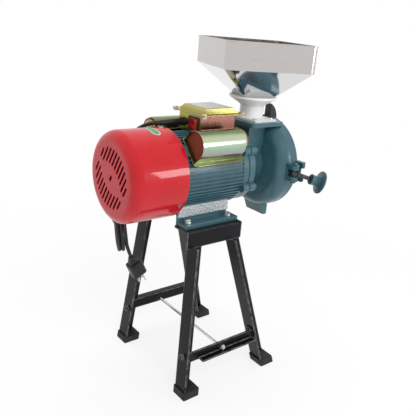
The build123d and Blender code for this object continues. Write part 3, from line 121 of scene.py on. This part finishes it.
def maths(tree, operation, first, second):
    made = addNode(tree, "Math", operation=operation)
    for socket, value in zip(made.inputs, (first, second)):
        if isinstance(value, (int, float)):
            socket.default_value = value
        else:
            tree.links.new(value, socket)
    return made.outputs[0]


def ramp(tree, value, stops):
    made = addNode(tree, "ValToRGB")
    band = made.color_ramp
    while len(band.elements) < len(stops):
        band.elements.new(0.5)
    for element, (place, color) in zip(band.elements, stops):
        element.position = place
        element.color = (*color, 1)
    tree.links.new(value, made.inputs["Fac"])
    return made.outputs["Color"]


def ranged(tree, value, low, high, fromLow=0.3, fromHigh=0.7):
    made = addNode(tree, "MapRange")
    sockets = ("From Min", "From Max", "To Min", "To Max")
    for socket, number in zip(sockets, (fromLow, fromHigh, low, high)):
        made.inputs[socket].default_value = number
    tree.links.new(value, made.inputs["Value"])
    return made.outputs["Result"]


def mixed(tree, factor, first, second):
    made = addNode(tree, "Mix", data_type="RGBA")
    tree.links.new(factor, made.inputs[0])
    for socket, color in ((made.inputs[6], first), (made.inputs[7], second)):
        if isinstance(color, tuple):
            socket.default_value = (*color, 1)
        else:
            tree.links.new(color, socket)
    return made.outputs[2]


def seenRays(tree):
    # 1 for what the camera sees, also in metal and glass
    path = addNode(tree, "LightPath")
    seen = maths(tree, "MAXIMUM", path.outputs["Is Camera Ray"], path.outputs["Is Glossy Ray"])
    return maths(tree, "MAXIMUM", seen, path.outputs["Is Transmission Ray"])


def axes(tree):
    # Object coordinates, one output for each axis
    coords = addNode(tree, "TexCoord")
    split = addNode(tree, "SeparateXYZ")
    tree.links.new(coords.outputs["Object"], split.inputs[0])
    return split.outputs


def begun(name):
    # A new material with its tree and shader
    material = bpy.data.materials.new(name)
    material.use_nodes = True
    tree = material.node_tree
    return material, tree, tree.nodes["Principled BSDF"]


def surfaced(tree, shader, radius, relief, height):
    # Rounds the light on sharp edges and raises the relief; returns the rounded normal
    rounded = addNode(tree, "Bevel", samples=6)
    rounded.inputs["Radius"].default_value = radius
    bump = addNode(tree, "Bump")
    bump.inputs["Strength"].default_value = 1.0
    bump.inputs["Distance"].default_value = height
    tree.links.new(relief, bump.inputs["Height"])
    tree.links.new(rounded.outputs[0], bump.inputs["Normal"])
    tree.links.new(bump.outputs[0], shader.inputs["Normal"])
    return rounded.outputs[0]


def edgeMask(tree, normal, sharp=0.76, flat=0.985):
    # 1 where the rounded normal leaves the face, 0 on flat faces
    geometry = addNode(tree, "NewGeometry")
    angle = addNode(tree, "VectorMath", operation="DOT_PRODUCT")
    tree.links.new(normal, angle.inputs[0])
    tree.links.new(geometry.outputs["Normal"], angle.inputs[1])
    return ranged(tree, angle.outputs["Value"], 1, 0, sharp, flat)


def paint(name, look):
    # Enamel, rubber or moulded plastic: drifting colour, grain, edges lighter from wear and from a painted
    # highlight along the edges
    material, tree, shader = begun(name)
    vector = placed(tree)
    drift = 22
    scuffScale = 90
    color = ramp(tree, noise(tree, vector, drift, 5), [(0.32, look["dark"]), (0.68, look["color"])])
    grain = noise(tree, vector, look["grain"], 2)
    edge = edgeMask(tree, surfaced(tree, shader, look.get("edge", 0.0006), grain, look["height"]))
    patches = ranged(tree, noise(tree, vector, scuffScale, 4), 0, look.get("wearAndHighlightAmount", 0.5))
    # Edge mask times wear patches: lighter edge colour, partly wear and partly painted highlight
    wearAndHighlightMask = maths(tree, "MULTIPLY", edge, patches)
    tree.links.new(mixed(tree, wearAndHighlightMask, color, look["wornAndHighlightColor"]), shader.inputs["Base Color"])
    gloss = noise(tree, vector, drift * 3, 4)
    tree.links.new(ranged(tree, gloss, *look["rough"]), shader.inputs["Roughness"])
    shader.inputs["Specular IOR Level"].default_value = look.get("specular", 0.5)
    shader.inputs["Coat Weight"].default_value = look.get("coat", 0)
    shader.inputs["Coat Roughness"].default_value = look.get("coatRough", 0.08)
    return material


def metal(name, look):
    # Plated, brushed or ground metal: streaks along the piece's own axes
    material, tree, shader = begun(name)
    streaks = noise(tree, placed(tree, look.get("streak", (1, 1, 1))), look["scale"], 4, 0.6)
    color = ramp(tree, streaks, [(0.3, look["dark"]), (0.7, look["color"])])
    tree.links.new(color, shader.inputs["Base Color"])
    tree.links.new(ranged(tree, streaks, *look["rough"]), shader.inputs["Roughness"])
    edge = 0.0004
    surfaced(tree, shader, edge, streaks, look["height"])
    shader.inputs["Metallic"].default_value = 1
    return material


# Floor and world
world = bpy.data.worlds.new("studio")
scene.world = world
world.use_nodes = True
worldTree = world.node_tree
backdrop = worldTree.nodes["Background"]
backdrop.inputs["Color"].default_value = (1, 1, 1, 1)
worldSet = {"light": 0.62, "seen": 1.0}
strength = ranged(worldTree, seenRays(worldTree), worldSet["light"], worldSet["seen"], 0, 1)
worldTree.links.new(strength, backdrop.inputs["Strength"])

# The camera sees a near-white floor under the part, which clears to white between two radii
floorSet = {
    "half": 7, "clear": (0.30, 1.0), "near": 0.78, "rough": 0.9, "specular": 0.1, "patches": 3,
    "dark": (0.90, 0.90, 0.90), "color": (0.93, 0.93, 0.93),
}
floorMesh = bmesh.new()
bmesh.ops.create_grid(floorMesh, x_segments=1, y_segments=1, size=floorSet["half"])
floorData = bpy.data.meshes.new("floor")
floorMesh.to_mesh(floorData)
floorMesh.free()
floor = bpy.data.objects.new("floor", floorData)
scene.collection.objects.link(floor)
floorPaint, floorTree, floorShader = begun("floorPaint")
floorShader.inputs["Roughness"].default_value = floorSet["rough"]
floorShader.inputs["Specular IOR Level"].default_value = floorSet["specular"]
floorVector = placed(floorTree)
floorPatches = noise(floorTree, floorVector, floorSet["patches"])
floorTree.links.new(
    ramp(floorTree, floorPatches, [(0.3, floorSet["dark"]), (0.7, floorSet["color"])]),
    floorShader.inputs["Base Color"],
)
reach = addNode(floorTree, "VectorMath", operation="LENGTH")
floorTree.links.new(floorVector, reach.inputs[0])
clear = ranged(floorTree, reach.outputs["Value"], floorSet["near"], 1, *floorSet["clear"])
glow = addNode(floorTree, "Emission")
blend = addNode(floorTree, "MixShader")
floorTree.links.new(maths(floorTree, "MULTIPLY", clear, seenRays(floorTree)), blend.inputs[0])
floorTree.links.new(floorShader.outputs[0], blend.inputs[1])
floorTree.links.new(glow.outputs[0], blend.inputs[2])
floorTree.links.new(blend.outputs[0], floorTree.nodes["Material Output"].inputs["Surface"])
floorData.materials.append(floorPaint)
print("stage set")


# Finishes
teal = paint("tealEnamel", {
    "color": (0.042, 0.118, 0.148), "dark": (0.030, 0.092, 0.118), "wornAndHighlightColor": (0.15, 0.30, 0.35), "wearAndHighlightAmount": 0.8,
    "grain": 240, "height": 0.00022, "edge": 0.0009, "rough": (0.28, 0.42), "specular": 0.4, "coat": 0.2,
    "coatRough": 0.12,
})
red = paint("redEnamel", {
    "color": (0.53, 0.005, 0.013), "dark": (0.47, 0.003, 0.009), "wornAndHighlightColor": (0.78, 0.10, 0.12), "wearAndHighlightAmount": 0.4,
    "grain": 160, "height": 0.00003, "edge": 0.0006, "rough": (0.30, 0.38), "specular": 0.15, "coat": 0.5,
    "coatRough": 0.045,
})
# The stand's pale edge colour is mostly a painted highlight along the rounded edges of the angle iron, with
# some wear
black = paint("blackStandPaint", {
    "color": (0.006, 0.006, 0.008), "dark": (0.003, 0.003, 0.004), "wornAndHighlightColor": (0.36, 0.36, 0.37), "wearAndHighlightAmount": 1.4,
    "grain": 420, "height": 0.00010, "edge": 0.0034, "rough": (0.28, 0.40), "specular": 0.17,
})
rubber = paint("blackRubber", {
    "color": (0.016, 0.016, 0.017), "dark": (0.010, 0.010, 0.011), "wornAndHighlightColor": (0.05, 0.05, 0.05),
    "grain": 900, "height": 0.00012, "edge": 0.0012, "rough": (0.55, 0.75), "specular": 0.35,
})
blackPlastic = paint("blackPlastic", {
    "color": (0.013, 0.013, 0.014), "dark": (0.009, 0.009, 0.010), "wornAndHighlightColor": (0.05, 0.05, 0.05),
    "grain": 1400, "height": 0.00005, "edge": 0.0005, "rough": (0.28, 0.42),
})
sheath = paint("cordSheath", {
    "color": (0.014, 0.014, 0.015), "dark": (0.009, 0.009, 0.010), "wornAndHighlightColor": (0.03, 0.03, 0.03),
    "grain": 700, "height": 0.00005, "edge": 0.0003, "rough": (0.34, 0.5),
})
rockerRed = paint("rockerRed", {
    "color": (0.46, 0.006, 0.008), "dark": (0.32, 0.003, 0.004), "wornAndHighlightColor": (0.8, 0.06, 0.06),
    "grain": 500, "height": 0.00003, "edge": 0.0006, "rough": (0.12, 0.2), "coat": 0.6,
})
white = paint("whitePlastic", {
    "color": (0.80, 0.80, 0.80), "dark": (0.74, 0.74, 0.75), "wornAndHighlightColor": (0.86, 0.86, 0.86),
    "grain": 900, "height": 0.00004, "edge": 0.0008, "rough": (0.32, 0.45),
})
grey = paint("greyPlastic", {
    "color": (0.30, 0.31, 0.32), "dark": (0.24, 0.25, 0.26), "wornAndHighlightColor": (0.4, 0.4, 0.4),
    "grain": 900, "height": 0.00005, "rough": (0.35, 0.5),
})
resin = paint("brownResin", {
    "color": (0.28, 0.060, 0.030), "dark": (0.20, 0.040, 0.020), "wornAndHighlightColor": (0.35, 0.12, 0.08),
    "grain": 300, "height": 0.0001, "rough": (0.35, 0.55),
})
copper = metal("copperWinding", {
    "color": (0.80, 0.33, 0.16), "dark": (0.42, 0.14, 0.06), "streak": (1, 6, 6), "scale": 120,
    "rough": (0.25, 0.45), "height": 0.0004,
})
plated = metal("brightPlating", {
    "color": (0.78, 0.78, 0.77), "dark": (0.58, 0.58, 0.57), "scale": 260,
    "rough": (0.18, 0.36), "height": 0.00004,
})
aluminium = metal("ribbedAluminium", {
    "color": (0.72, 0.75, 0.77), "dark": (0.22, 0.24, 0.25), "scale": 360,
    "rough": (0.22, 0.42), "height": 0.0006,
})
ground = metal("groundSteel", {
    "color": (0.62, 0.61, 0.60), "dark": (0.45, 0.45, 0.44), "streak": (12, 1, 1), "scale": 60,
    "rough": (0.2, 0.35), "height": 0.00003,
})
iron = metal("burrIron", {
    "color": (0.16, 0.155, 0.15), "dark": (0.09, 0.088, 0.085), "scale": 160,
    "rough": (0.45, 0.7), "height": 0.0003,
})
core = metal("coreSheets", {
    "color": (0.30, 0.30, 0.31), "dark": (0.12, 0.12, 0.125), "streak": (40, 1, 1), "scale": 40,
    "rough": (0.35, 0.55), "height": 0.0002,
})
darkSteel = metal("blackenedSteel", {
    "color": (0.10, 0.10, 0.105), "dark": (0.05, 0.05, 0.052), "scale": 220,
    "rough": (0.28, 0.45), "height": 0.00005,
})
brass = metal("plugBrass", {
    "color": (0.66, 0.63, 0.58), "dark": (0.44, 0.42, 0.38), "scale": 200,
    "rough": (0.18, 0.3), "height": 0.00003,
})


# Where the zinc colours run, with the covers' painted highlight streak and painted dark flange: the covers'
# centre and lean, the box's and the lid's heights
coverTintAndHighlightRun = {
    "out": 0.0633, "up": 0.461, "leanOut": 0.7254, "leanUp": 0.6884, "seat": (0.0312, 0.0322),
    "sweep": (-1.05, 2.62),
}
boxRun = {"tones": (0.02, 0.30), "heights": (0.473, 0.502), "side": (-0.0322, -0.0308), "high": 0.75}
lidRun = {"tones": (0.1, 0.9), "heights": (0.5030, 0.5125)}


def coverTintAndHighlightGuide(tree):
    # Runs round a capacitor cover, from its inner side over the top to its foot, and sets where the painted
    # highlight streak falls; low again on the flange, where it gives a painted dark reflection
    part = axes(tree)
    outward = maths(tree, "ABSOLUTE", part["Y"], 0)
    height = maths(tree, "SUBTRACT", part["Z"], coverTintAndHighlightRun["up"])
    around = maths(tree, "ARCTAN2", maths(tree, "SUBTRACT", outward, coverTintAndHighlightRun["out"]), height)
    leanOut = maths(tree, "MULTIPLY", outward, coverTintAndHighlightRun["leanOut"])
    leanUp = maths(tree, "MULTIPLY", height, coverTintAndHighlightRun["leanUp"])
    hoodNotPaintedDark = ranged(tree, maths(tree, "ADD", leanOut, leanUp), 0, 1, *coverTintAndHighlightRun["seat"])
    return maths(tree, "MULTIPLY", ranged(tree, around, 0, 1, *coverTintAndHighlightRun["sweep"]), hoodNotPaintedDark)


def boxGuide(tree):
    # Rises up the near side of the switch box, and stays high on its other sides
    part = axes(tree)
    rise = ranged(tree, part["Z"], *boxRun["tones"], *boxRun["heights"])
    return maths(tree, "MAXIMUM", rise, ranged(tree, part["Y"], 0, boxRun["high"], *boxRun["side"]))


def lidGuide(tree):
    # Rises from the lid's rim to its crown
    return ranged(tree, axes(tree)["Z"], *lidRun["tones"], *lidRun["heights"])


zincSheet = {"edge": 0.0011, "grain": 300, "height": 0.00006}


def zincFinish(name, look):
    # Yellow-passivated zinc: gold, green and rose that drift along the sheet, laid out by a guide; the paler
    # edges are a painted highlight
    material, tree, shader = begun(name)
    clouds = noise(tree, placed(tree, look.get("stretch", (1, 1, 1))), look["scale"], 4, 0.6)
    drift = maths(tree, "MULTIPLY", maths(tree, "SUBTRACT", clouds, 0.5), look["wander"])
    color = ramp(tree, maths(tree, "ADD", look["guide"](tree), drift), look["stops"])
    tree.links.new(ranged(tree, clouds, *look["rough"]), shader.inputs["Roughness"])
    grain = noise(tree, placed(tree), zincSheet["grain"], 2)
    edge = edgeMask(tree, surfaced(tree, shader, zincSheet["edge"], grain, zincSheet["height"]))
    # Edges take the pale rim colour: a painted highlight along the bent edges
    tree.links.new(mixed(tree, edge, color, look["rim"]), shader.inputs["Base Color"])
    shader.inputs["Metallic"].default_value = 1
    return material


zincCoverWithPaintedHighlight = zincFinish("zincCoverWithPaintedHighlight", {
    "guide": coverTintAndHighlightGuide, "stretch": (0.3, 1, 1), "scale": 30, "wander": 0.14, "rough": (0.15, 0.25),
    "rim": (0.72, 0.68, 0.42),
    # The paler middle stops paint the side lamp's highlight streak; the lowest stop paints the flange dark as
    # a painted reflection of the dark parts nearby
    "stops": [
        (0.06, (0.15, 0.17, 0.08)), (0.28, (0.24, 0.30, 0.12)), (0.42, (0.26, 0.34, 0.17)),
        (0.53, (0.52, 0.58, 0.38)), (0.64, (0.52, 0.62, 0.47)), (0.75, (0.34, 0.50, 0.38)),
        (0.84, (0.42, 0.34, 0.36)), (0.93, (0.20, 0.25, 0.15)),
    ],
})
zincBox = zincFinish("zincBox", {
    "guide": boxGuide, "scale": 9, "wander": 0.07, "rough": (0.2, 0.34), "rim": (0.70, 0.50, 0.36),
    "stops": [
        (0.04, (0.20, 0.075, 0.055)), (0.26, (0.44, 0.20, 0.17)), (0.62, (0.44, 0.36, 0.09)),
        (0.85, (0.33, 0.35, 0.09)),
    ],
})
zincLid = zincFinish("zincLid", {
    "guide": lidGuide, "scale": 24, "wander": 0.2, "rough": (0.2, 0.34), "rim": (0.74, 0.55, 0.36),
    "stops": [
        (0.10, (0.70, 0.44, 0.33)), (0.30, (0.46, 0.34, 0.11)), (0.55, (0.33, 0.32, 0.075)),
        (0.85, (0.48, 0.44, 0.16)),
    ],
})


def stainlessFinish(name, look):
    # Brushed band above, polished funnel below
    material, tree, shader = begun(name)
    band = ranged(tree, axes(tree)["Z"], 0, 1, *look["split"])
    brushed = noise(tree, placed(tree, look["brush"]), look["scale"], 4, 0.65)
    smudge = noise(tree, placed(tree), look["smudge"], 3)
    bandColor = ramp(tree, brushed, [(0.3, look["bandDark"]), (0.7, look["bandColor"])])
    tree.links.new(mixed(tree, band, look["funnel"], bandColor), shader.inputs["Base Color"])
    rough = addNode(tree, "Mix", data_type="FLOAT")
    tree.links.new(band, rough.inputs[0])
    tree.links.new(ranged(tree, smudge, *look["funnelRough"]), rough.inputs[2])
    tree.links.new(ranged(tree, brushed, *look["bandRough"]), rough.inputs[3])
    tree.links.new(rough.outputs[0], shader.inputs["Roughness"])
    surfaced(tree, shader, look["edge"], maths(tree, "MULTIPLY", brushed, band), look["height"])
    shader.inputs["Metallic"].default_value = 1
    return material


stainless = stainlessFinish("stainless", {
    "split": (0.5815, 0.5825), "brush": (3, 3, 160), "scale": 18, "smudge": 24, "edge": 0.0006,
    "height": 0.00003,
    "bandDark": (0.50, 0.475, 0.46), "bandColor": (0.57, 0.545, 0.53), "bandRough": (0.11, 0.17),
    "funnel": (0.70, 0.70, 0.71), "funnelRough": (0.05, 0.10),
})
bySlot = {
    "black_paint": black, "plated_steel": plated, "black_rubber": rubber, "teal_paint": teal,
    "bright_aluminium": aluminium, "red_paint": red, "yellow_zinc": zincCoverWithPaintedHighlight, "red_plastic": rockerRed,
    "black_plastic": blackPlastic, "white_plastic": white, "stainless": stainless, "cord_sheath": sheath,
    "plug_brass": brass, "burr_iron": iron, "ground_steel": ground, "core_steel": core, "copper": copper,
    "grey_plastic": grey, "brown_resin": resin,
}
# The cooling fan takes black plastic in place of its grey slot: painted shade seen through the fan cover's
# slots
byNode = {
    "switch_box": zincBox, "switch_box_lid": zincLid, "flange_bolts": teal, "cooling_fan": blackPlastic,
    "brace_bolts": black,
}
for side in ("near", "far"):
    byNode["clamp_pin_" + side] = teal
    byNode["swing_bolt_" + side] = byNode["clamp_washer_" + side] = darkSteel
slotOf = {part["node"]: part["material_slot"] for part in frame["record"]["subparts"]}
for nodeName, node in nodes.items():
    chosen = byNode.get(nodeName) or bySlot[slotOf[nodeName]]
    for index in range(len(node.data.materials)):
        node.data.materials[index] = chosen
print("finishes on", len(nodes), "nodes")


# Cord: from the gland, down behind the fan cover into a tied hank, then to the plug
cordSet = {
    "diameter": 0.007, "turns": 2, "pitch": 0.0072, "bend": 0.023, "high": 0.320, "low": 0.252, "run": 0.012,
    "lean": 0.12, "turned": math.radians(69.5), "corners": 6, "length": 0.90,
}
hankCentre = Vector((frameX - 0.041, 0.080, 0.286))
hankWay = Vector((math.cos(cordSet["turned"]), math.sin(cordSet["turned"]), 0))
hankSide = Vector((hankWay.y, -hankWay.x, 0))


def hankPoint(across, side, height):
    # A place in the leaning hank: across a loop, to its side, and above the floor
    lean = (hankCentre.z - height) * cordSet["lean"]
    place = hankCentre + hankWay * across + hankSide * (side + lean)
    return Vector((place.x, place.y, height))


glandPoints = (
    (0.0220, 0.0164, 0.4850), (0.0140, 0.0164, 0.4850), (0.0005, 0.0182, 0.4847),
    (-0.0113, 0.0264, 0.4827), (-0.0180, 0.0390, 0.4770), (-0.0218, 0.0530, 0.4685),
    (-0.0255, 0.0665, 0.4570), (-0.0303, 0.0785, 0.4410), (-0.0365, 0.0868, 0.4200),
    (-0.0437, 0.0898, 0.3985), (-0.0515, 0.0885, 0.3790), (-0.0588, 0.0852, 0.3620),
)
plugPoints = ((-0.0340, 0.0594, 0.2400), (-0.0238, 0.0606, 0.2175))
cordRoute = [Vector((frameX + along, across, height)) for along, across, height in glandPoints]
cordRoute.append(hankPoint(-0.0130, -0.0106, 0.3435))
bend, high, low, run = cordSet["bend"], cordSet["high"], cordSet["low"], cordSet["run"]
corners = [math.pi * step / cordSet["corners"] for step in range(cordSet["corners"] + 1)]
for loop in range(cordSet["turns"]):
    places = [(-bend, high if loop == 0 else high - run), (-bend, low + run)]
    places += [(-bend * math.cos(corner), low - bend * math.sin(corner)) for corner in corners]
    places += [(bend, low + run), (bend, high - run)]
    places += [(bend * math.cos(corner), high + bend * math.sin(corner)) for corner in corners]
    for index, (across, height) in enumerate(places):
        side = (loop + index / len(places) - cordSet["turns"] / 2) * cordSet["pitch"]
        cordRoute.append(hankPoint(across, side, height))
lastSide = cordSet["turns"] / 2 * cordSet["pitch"]
cordRoute += [
    hankPoint(-bend, lastSide, high - run),
    hankPoint(-0.0225, lastSide, 0.284),
    hankPoint(-0.0205, lastSide + 0.0008, 0.261),
]
cordRoute += [Vector((frameX + along, across, height)) for along, across, height in plugPoints]
cordData = bpy.data.curves.new("mainsCord", "CURVE")
cordData.dimensions = "3D"
cordLine = cordData.splines.new("NURBS")
cordLine.points.add(len(cordRoute) - 1)
for point, place in zip(cordLine.points, cordRoute):
    point.co = (*place, 1)
cordLine.order_u = 3
cordLine.use_endpoint_u = True
cordLine.resolution_u = 6
cordData.bevel_depth = cordSet["diameter"] / 2
cordData.bevel_resolution = 5
cordData.use_fill_caps = True
mainsCord = bpy.data.objects.new("mainsCord", cordData)
scene.collection.objects.link(mainsCord)
cordData.materials.append(sheath)
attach(mainsCord, "stand_and_motor")
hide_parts("cord", "cord_lead", "cord_hank")
print("cord laid")


def finished(name, mesh, material, body):
    # A bmesh becomes a piece that rides on a body
    data = bpy.data.meshes.new(name)
    mesh.to_mesh(data)
    mesh.free()
    data.materials.append(material)
    piece = bpy.data.objects.new(name, data)
    scene.collection.objects.link(piece)
    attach(piece, body)


def smooth(mesh, flat=35):
    # Smooth faces with sharp edges above an angle
    limit = math.radians(flat)
    for face in mesh.faces:
        face.smooth = True
    for edge in mesh.edges:
        if len(edge.link_faces) == 2 and edge.calc_face_angle(0) > limit:
            edge.smooth = False


def bridged(mesh, rings, closed):
    # Joins rings of corners into a skin; open skins get end faces
    made = [[mesh.verts.new(place) for place in ring] for ring in rings]
    pairs = list(zip(made, made[1:]))
    if closed:
        pairs.append((made[-1], made[0]))
    for first, second in pairs:
        for index in range(len(first)):
            after = (index + 1) % len(first)
            mesh.faces.new((first[index], first[after], second[after], second[index]))
    if not closed:
        mesh.faces.new(made[0])
        mesh.faces.new(made[-1])
    bmesh.ops.recalc_face_normals(mesh, faces=mesh.faces)


# Bend relief on the gland, tapering onto the cord with three grooves
relief = {
    "start": (frameX + 0.0225, 0.0164, 0.485), "length": 0.030, "thick": 0.0058, "thin": 0.0041, "sides": 28,
    "steps": 40, "turnFrom": 0.25, "turn": (0, 0.0105, -0.0026), "turnMore": 1.1,
    "grooves": (0.12, 0.85), "grooveDepth": 0.0006, "grooveSpread": 26, "grooveEdge": 6,
}
reliefMesh = bmesh.new()
reliefRings = []
startX, startY, startZ = relief["start"]
for step in range(relief["steps"] + 1):
    share = step / relief["steps"]
    place = Vector((startX - share * relief["length"], startY, startZ))
    place += Vector(relief["turn"]) * max(0, share - relief["turnFrom"]) ** 2 * relief["turnMore"]
    radius = relief["thick"] + (relief["thin"] - relief["thick"]) * share
    if relief["grooves"][0] < share < relief["grooves"][1]:
        wave = max(0, math.sin(share * relief["grooveSpread"]))
        radius -= relief["grooveDepth"] * wave ** relief["grooveEdge"]
    reliefRings.append([
        place + Vector((0, math.cos(angle), math.sin(angle))) * radius
        for angle in (2 * math.pi * index / relief["sides"] for index in range(relief["sides"]))
    ])
bridged(reliefMesh, reliefRings, False)
smooth(reliefMesh)
finished("bendRelief", reliefMesh, blackPlastic, "stand_and_motor")


# Tie round the hank: a flat band that follows the bundle
tie = {
    "height": 0.296, "tall": 0.009, "thick": 0.0012, "reach": 0.0270, "depth": 0.0118, "steps": 56,
    "squareness": 0.45,
}
tieMesh = bmesh.new()
tieRings = []
for step in range(tie["steps"]):
    angle = 2 * math.pi * step / tie["steps"]
    wide, deep = math.cos(angle), math.sin(angle)
    across = math.copysign(abs(wide) ** tie["squareness"], wide)
    side = math.copysign(abs(deep) ** tie["squareness"], deep)
    ring = []
    for out, up in ((0, -1), (1, -1), (1, 1), (0, 1)):
        reach = tie["reach"] + out * tie["thick"]
        depth = tie["depth"] + out * tie["thick"]
        ring.append(hankPoint(across * reach, side * depth, tie["height"] + up * tie["tall"] / 2))
    tieRings.append(ring)
bridged(tieMesh, tieRings, True)
smooth(tieMesh)
finished("hankTie", tieMesh, sheath, "stand_and_motor")


def plate(length, width, corner, thick, bent):
    # A thin plate with rounded corners, laid on a surface by bent(along, across, above)
    cornerSteps = 8
    middleSteps = 12
    leastHalf = 0.0002
    rows = []
    for step in range(cornerSteps, -1, -1):
        angle = math.pi / 2 * step / cornerSteps
        along = -length / 2 + corner * (1 - math.sin(angle))
        rows.append((along, width / 2 - corner * (1 - math.cos(angle))))
    start = -length / 2 + corner
    straight = length - 2 * corner
    middle = [(start + straight * step / middleSteps, width / 2) for step in range(1, middleSteps)]
    rows = rows + middle + [(-along, half) for along, half in reversed(rows)]
    mesh = bmesh.new()
    rings = []
    for along, half in rows:
        half = max(half, leastHalf)
        low = [bent(along, side * half, 0) for side in (-1, 1)]
        high = [bent(along, side * half, thick) for side in (1, -1)]
        rings.append(low + high)
    bridged(mesh, rings, False)
    smooth(mesh, 25)
    return mesh


# Blank label on the fan cover: a green field with a pale rim
label = {
    "place": frameX - 0.033, "angle": 0.11, "radius": 0.0790, "length": 0.041, "width": 0.0150, "rim": 0.0016,
    "rimThick": 0.00025, "fieldThick": 0.0004,
}


def onCover(along, across, above):
    angle = label["angle"] + along / label["radius"]
    radius = label["radius"] + above
    return Vector((label["place"] + across, -radius * math.sin(angle), shaftZ + radius * math.cos(angle)))


labelPale = paint("labelPale", {
    "color": (0.72, 0.66, 0.64), "dark": (0.64, 0.58, 0.56), "wornAndHighlightColor": (0.8, 0.76, 0.74),
    "grain": 800, "height": 0.00002, "edge": 0.0002, "rough": (0.3, 0.4),
})
labelGreen = paint("labelGreen", {
    "color": (0.045, 0.30, 0.12), "dark": (0.035, 0.25, 0.10), "wornAndHighlightColor": (0.2, 0.5, 0.3),
    "grain": 800, "height": 0.00002, "edge": 0.0002, "rough": (0.3, 0.4),
})
rimMesh = plate(label["length"], label["width"], label["width"] / 2, label["rimThick"], onCover)
finished("labelRim", rimMesh, labelPale, "stand_and_motor")
inner = label["width"] - 2 * label["rim"]
fieldMesh = plate(label["length"] - 2 * label["rim"], inner, inner / 2, label["fieldThick"], onCover)
finished("labelField", fieldMesh, labelGreen, "stand_and_motor")


# Blank plate on the crown of the lid
lid = nodes["switch_box_lid"]
lidTop = max((lid.matrix_world @ corner.co).z for corner in lid.data.vertices)
lidPlate = {"place": frameX + 0.0915, "length": 0.058, "width": 0.054, "corner": 0.003, "thick": 0.0004}


def onLid(along, across, above):
    return Vector((lidPlate["place"] + along, across, lidTop + above))


plateGrey = paint("plateGrey", {
    "color": (0.50, 0.495, 0.48), "dark": (0.43, 0.425, 0.41), "wornAndHighlightColor": (0.66, 0.66, 0.65),
    "grain": 600, "height": 0.00003, "edge": 0.0003, "rough": (0.3, 0.42),
})
lidMesh = plate(lidPlate["length"], lidPlate["width"], lidPlate["corner"], lidPlate["thick"], onLid)
finished("lidPlate", lidMesh, plateGrey, "stand_and_motor")
print("pieces made")
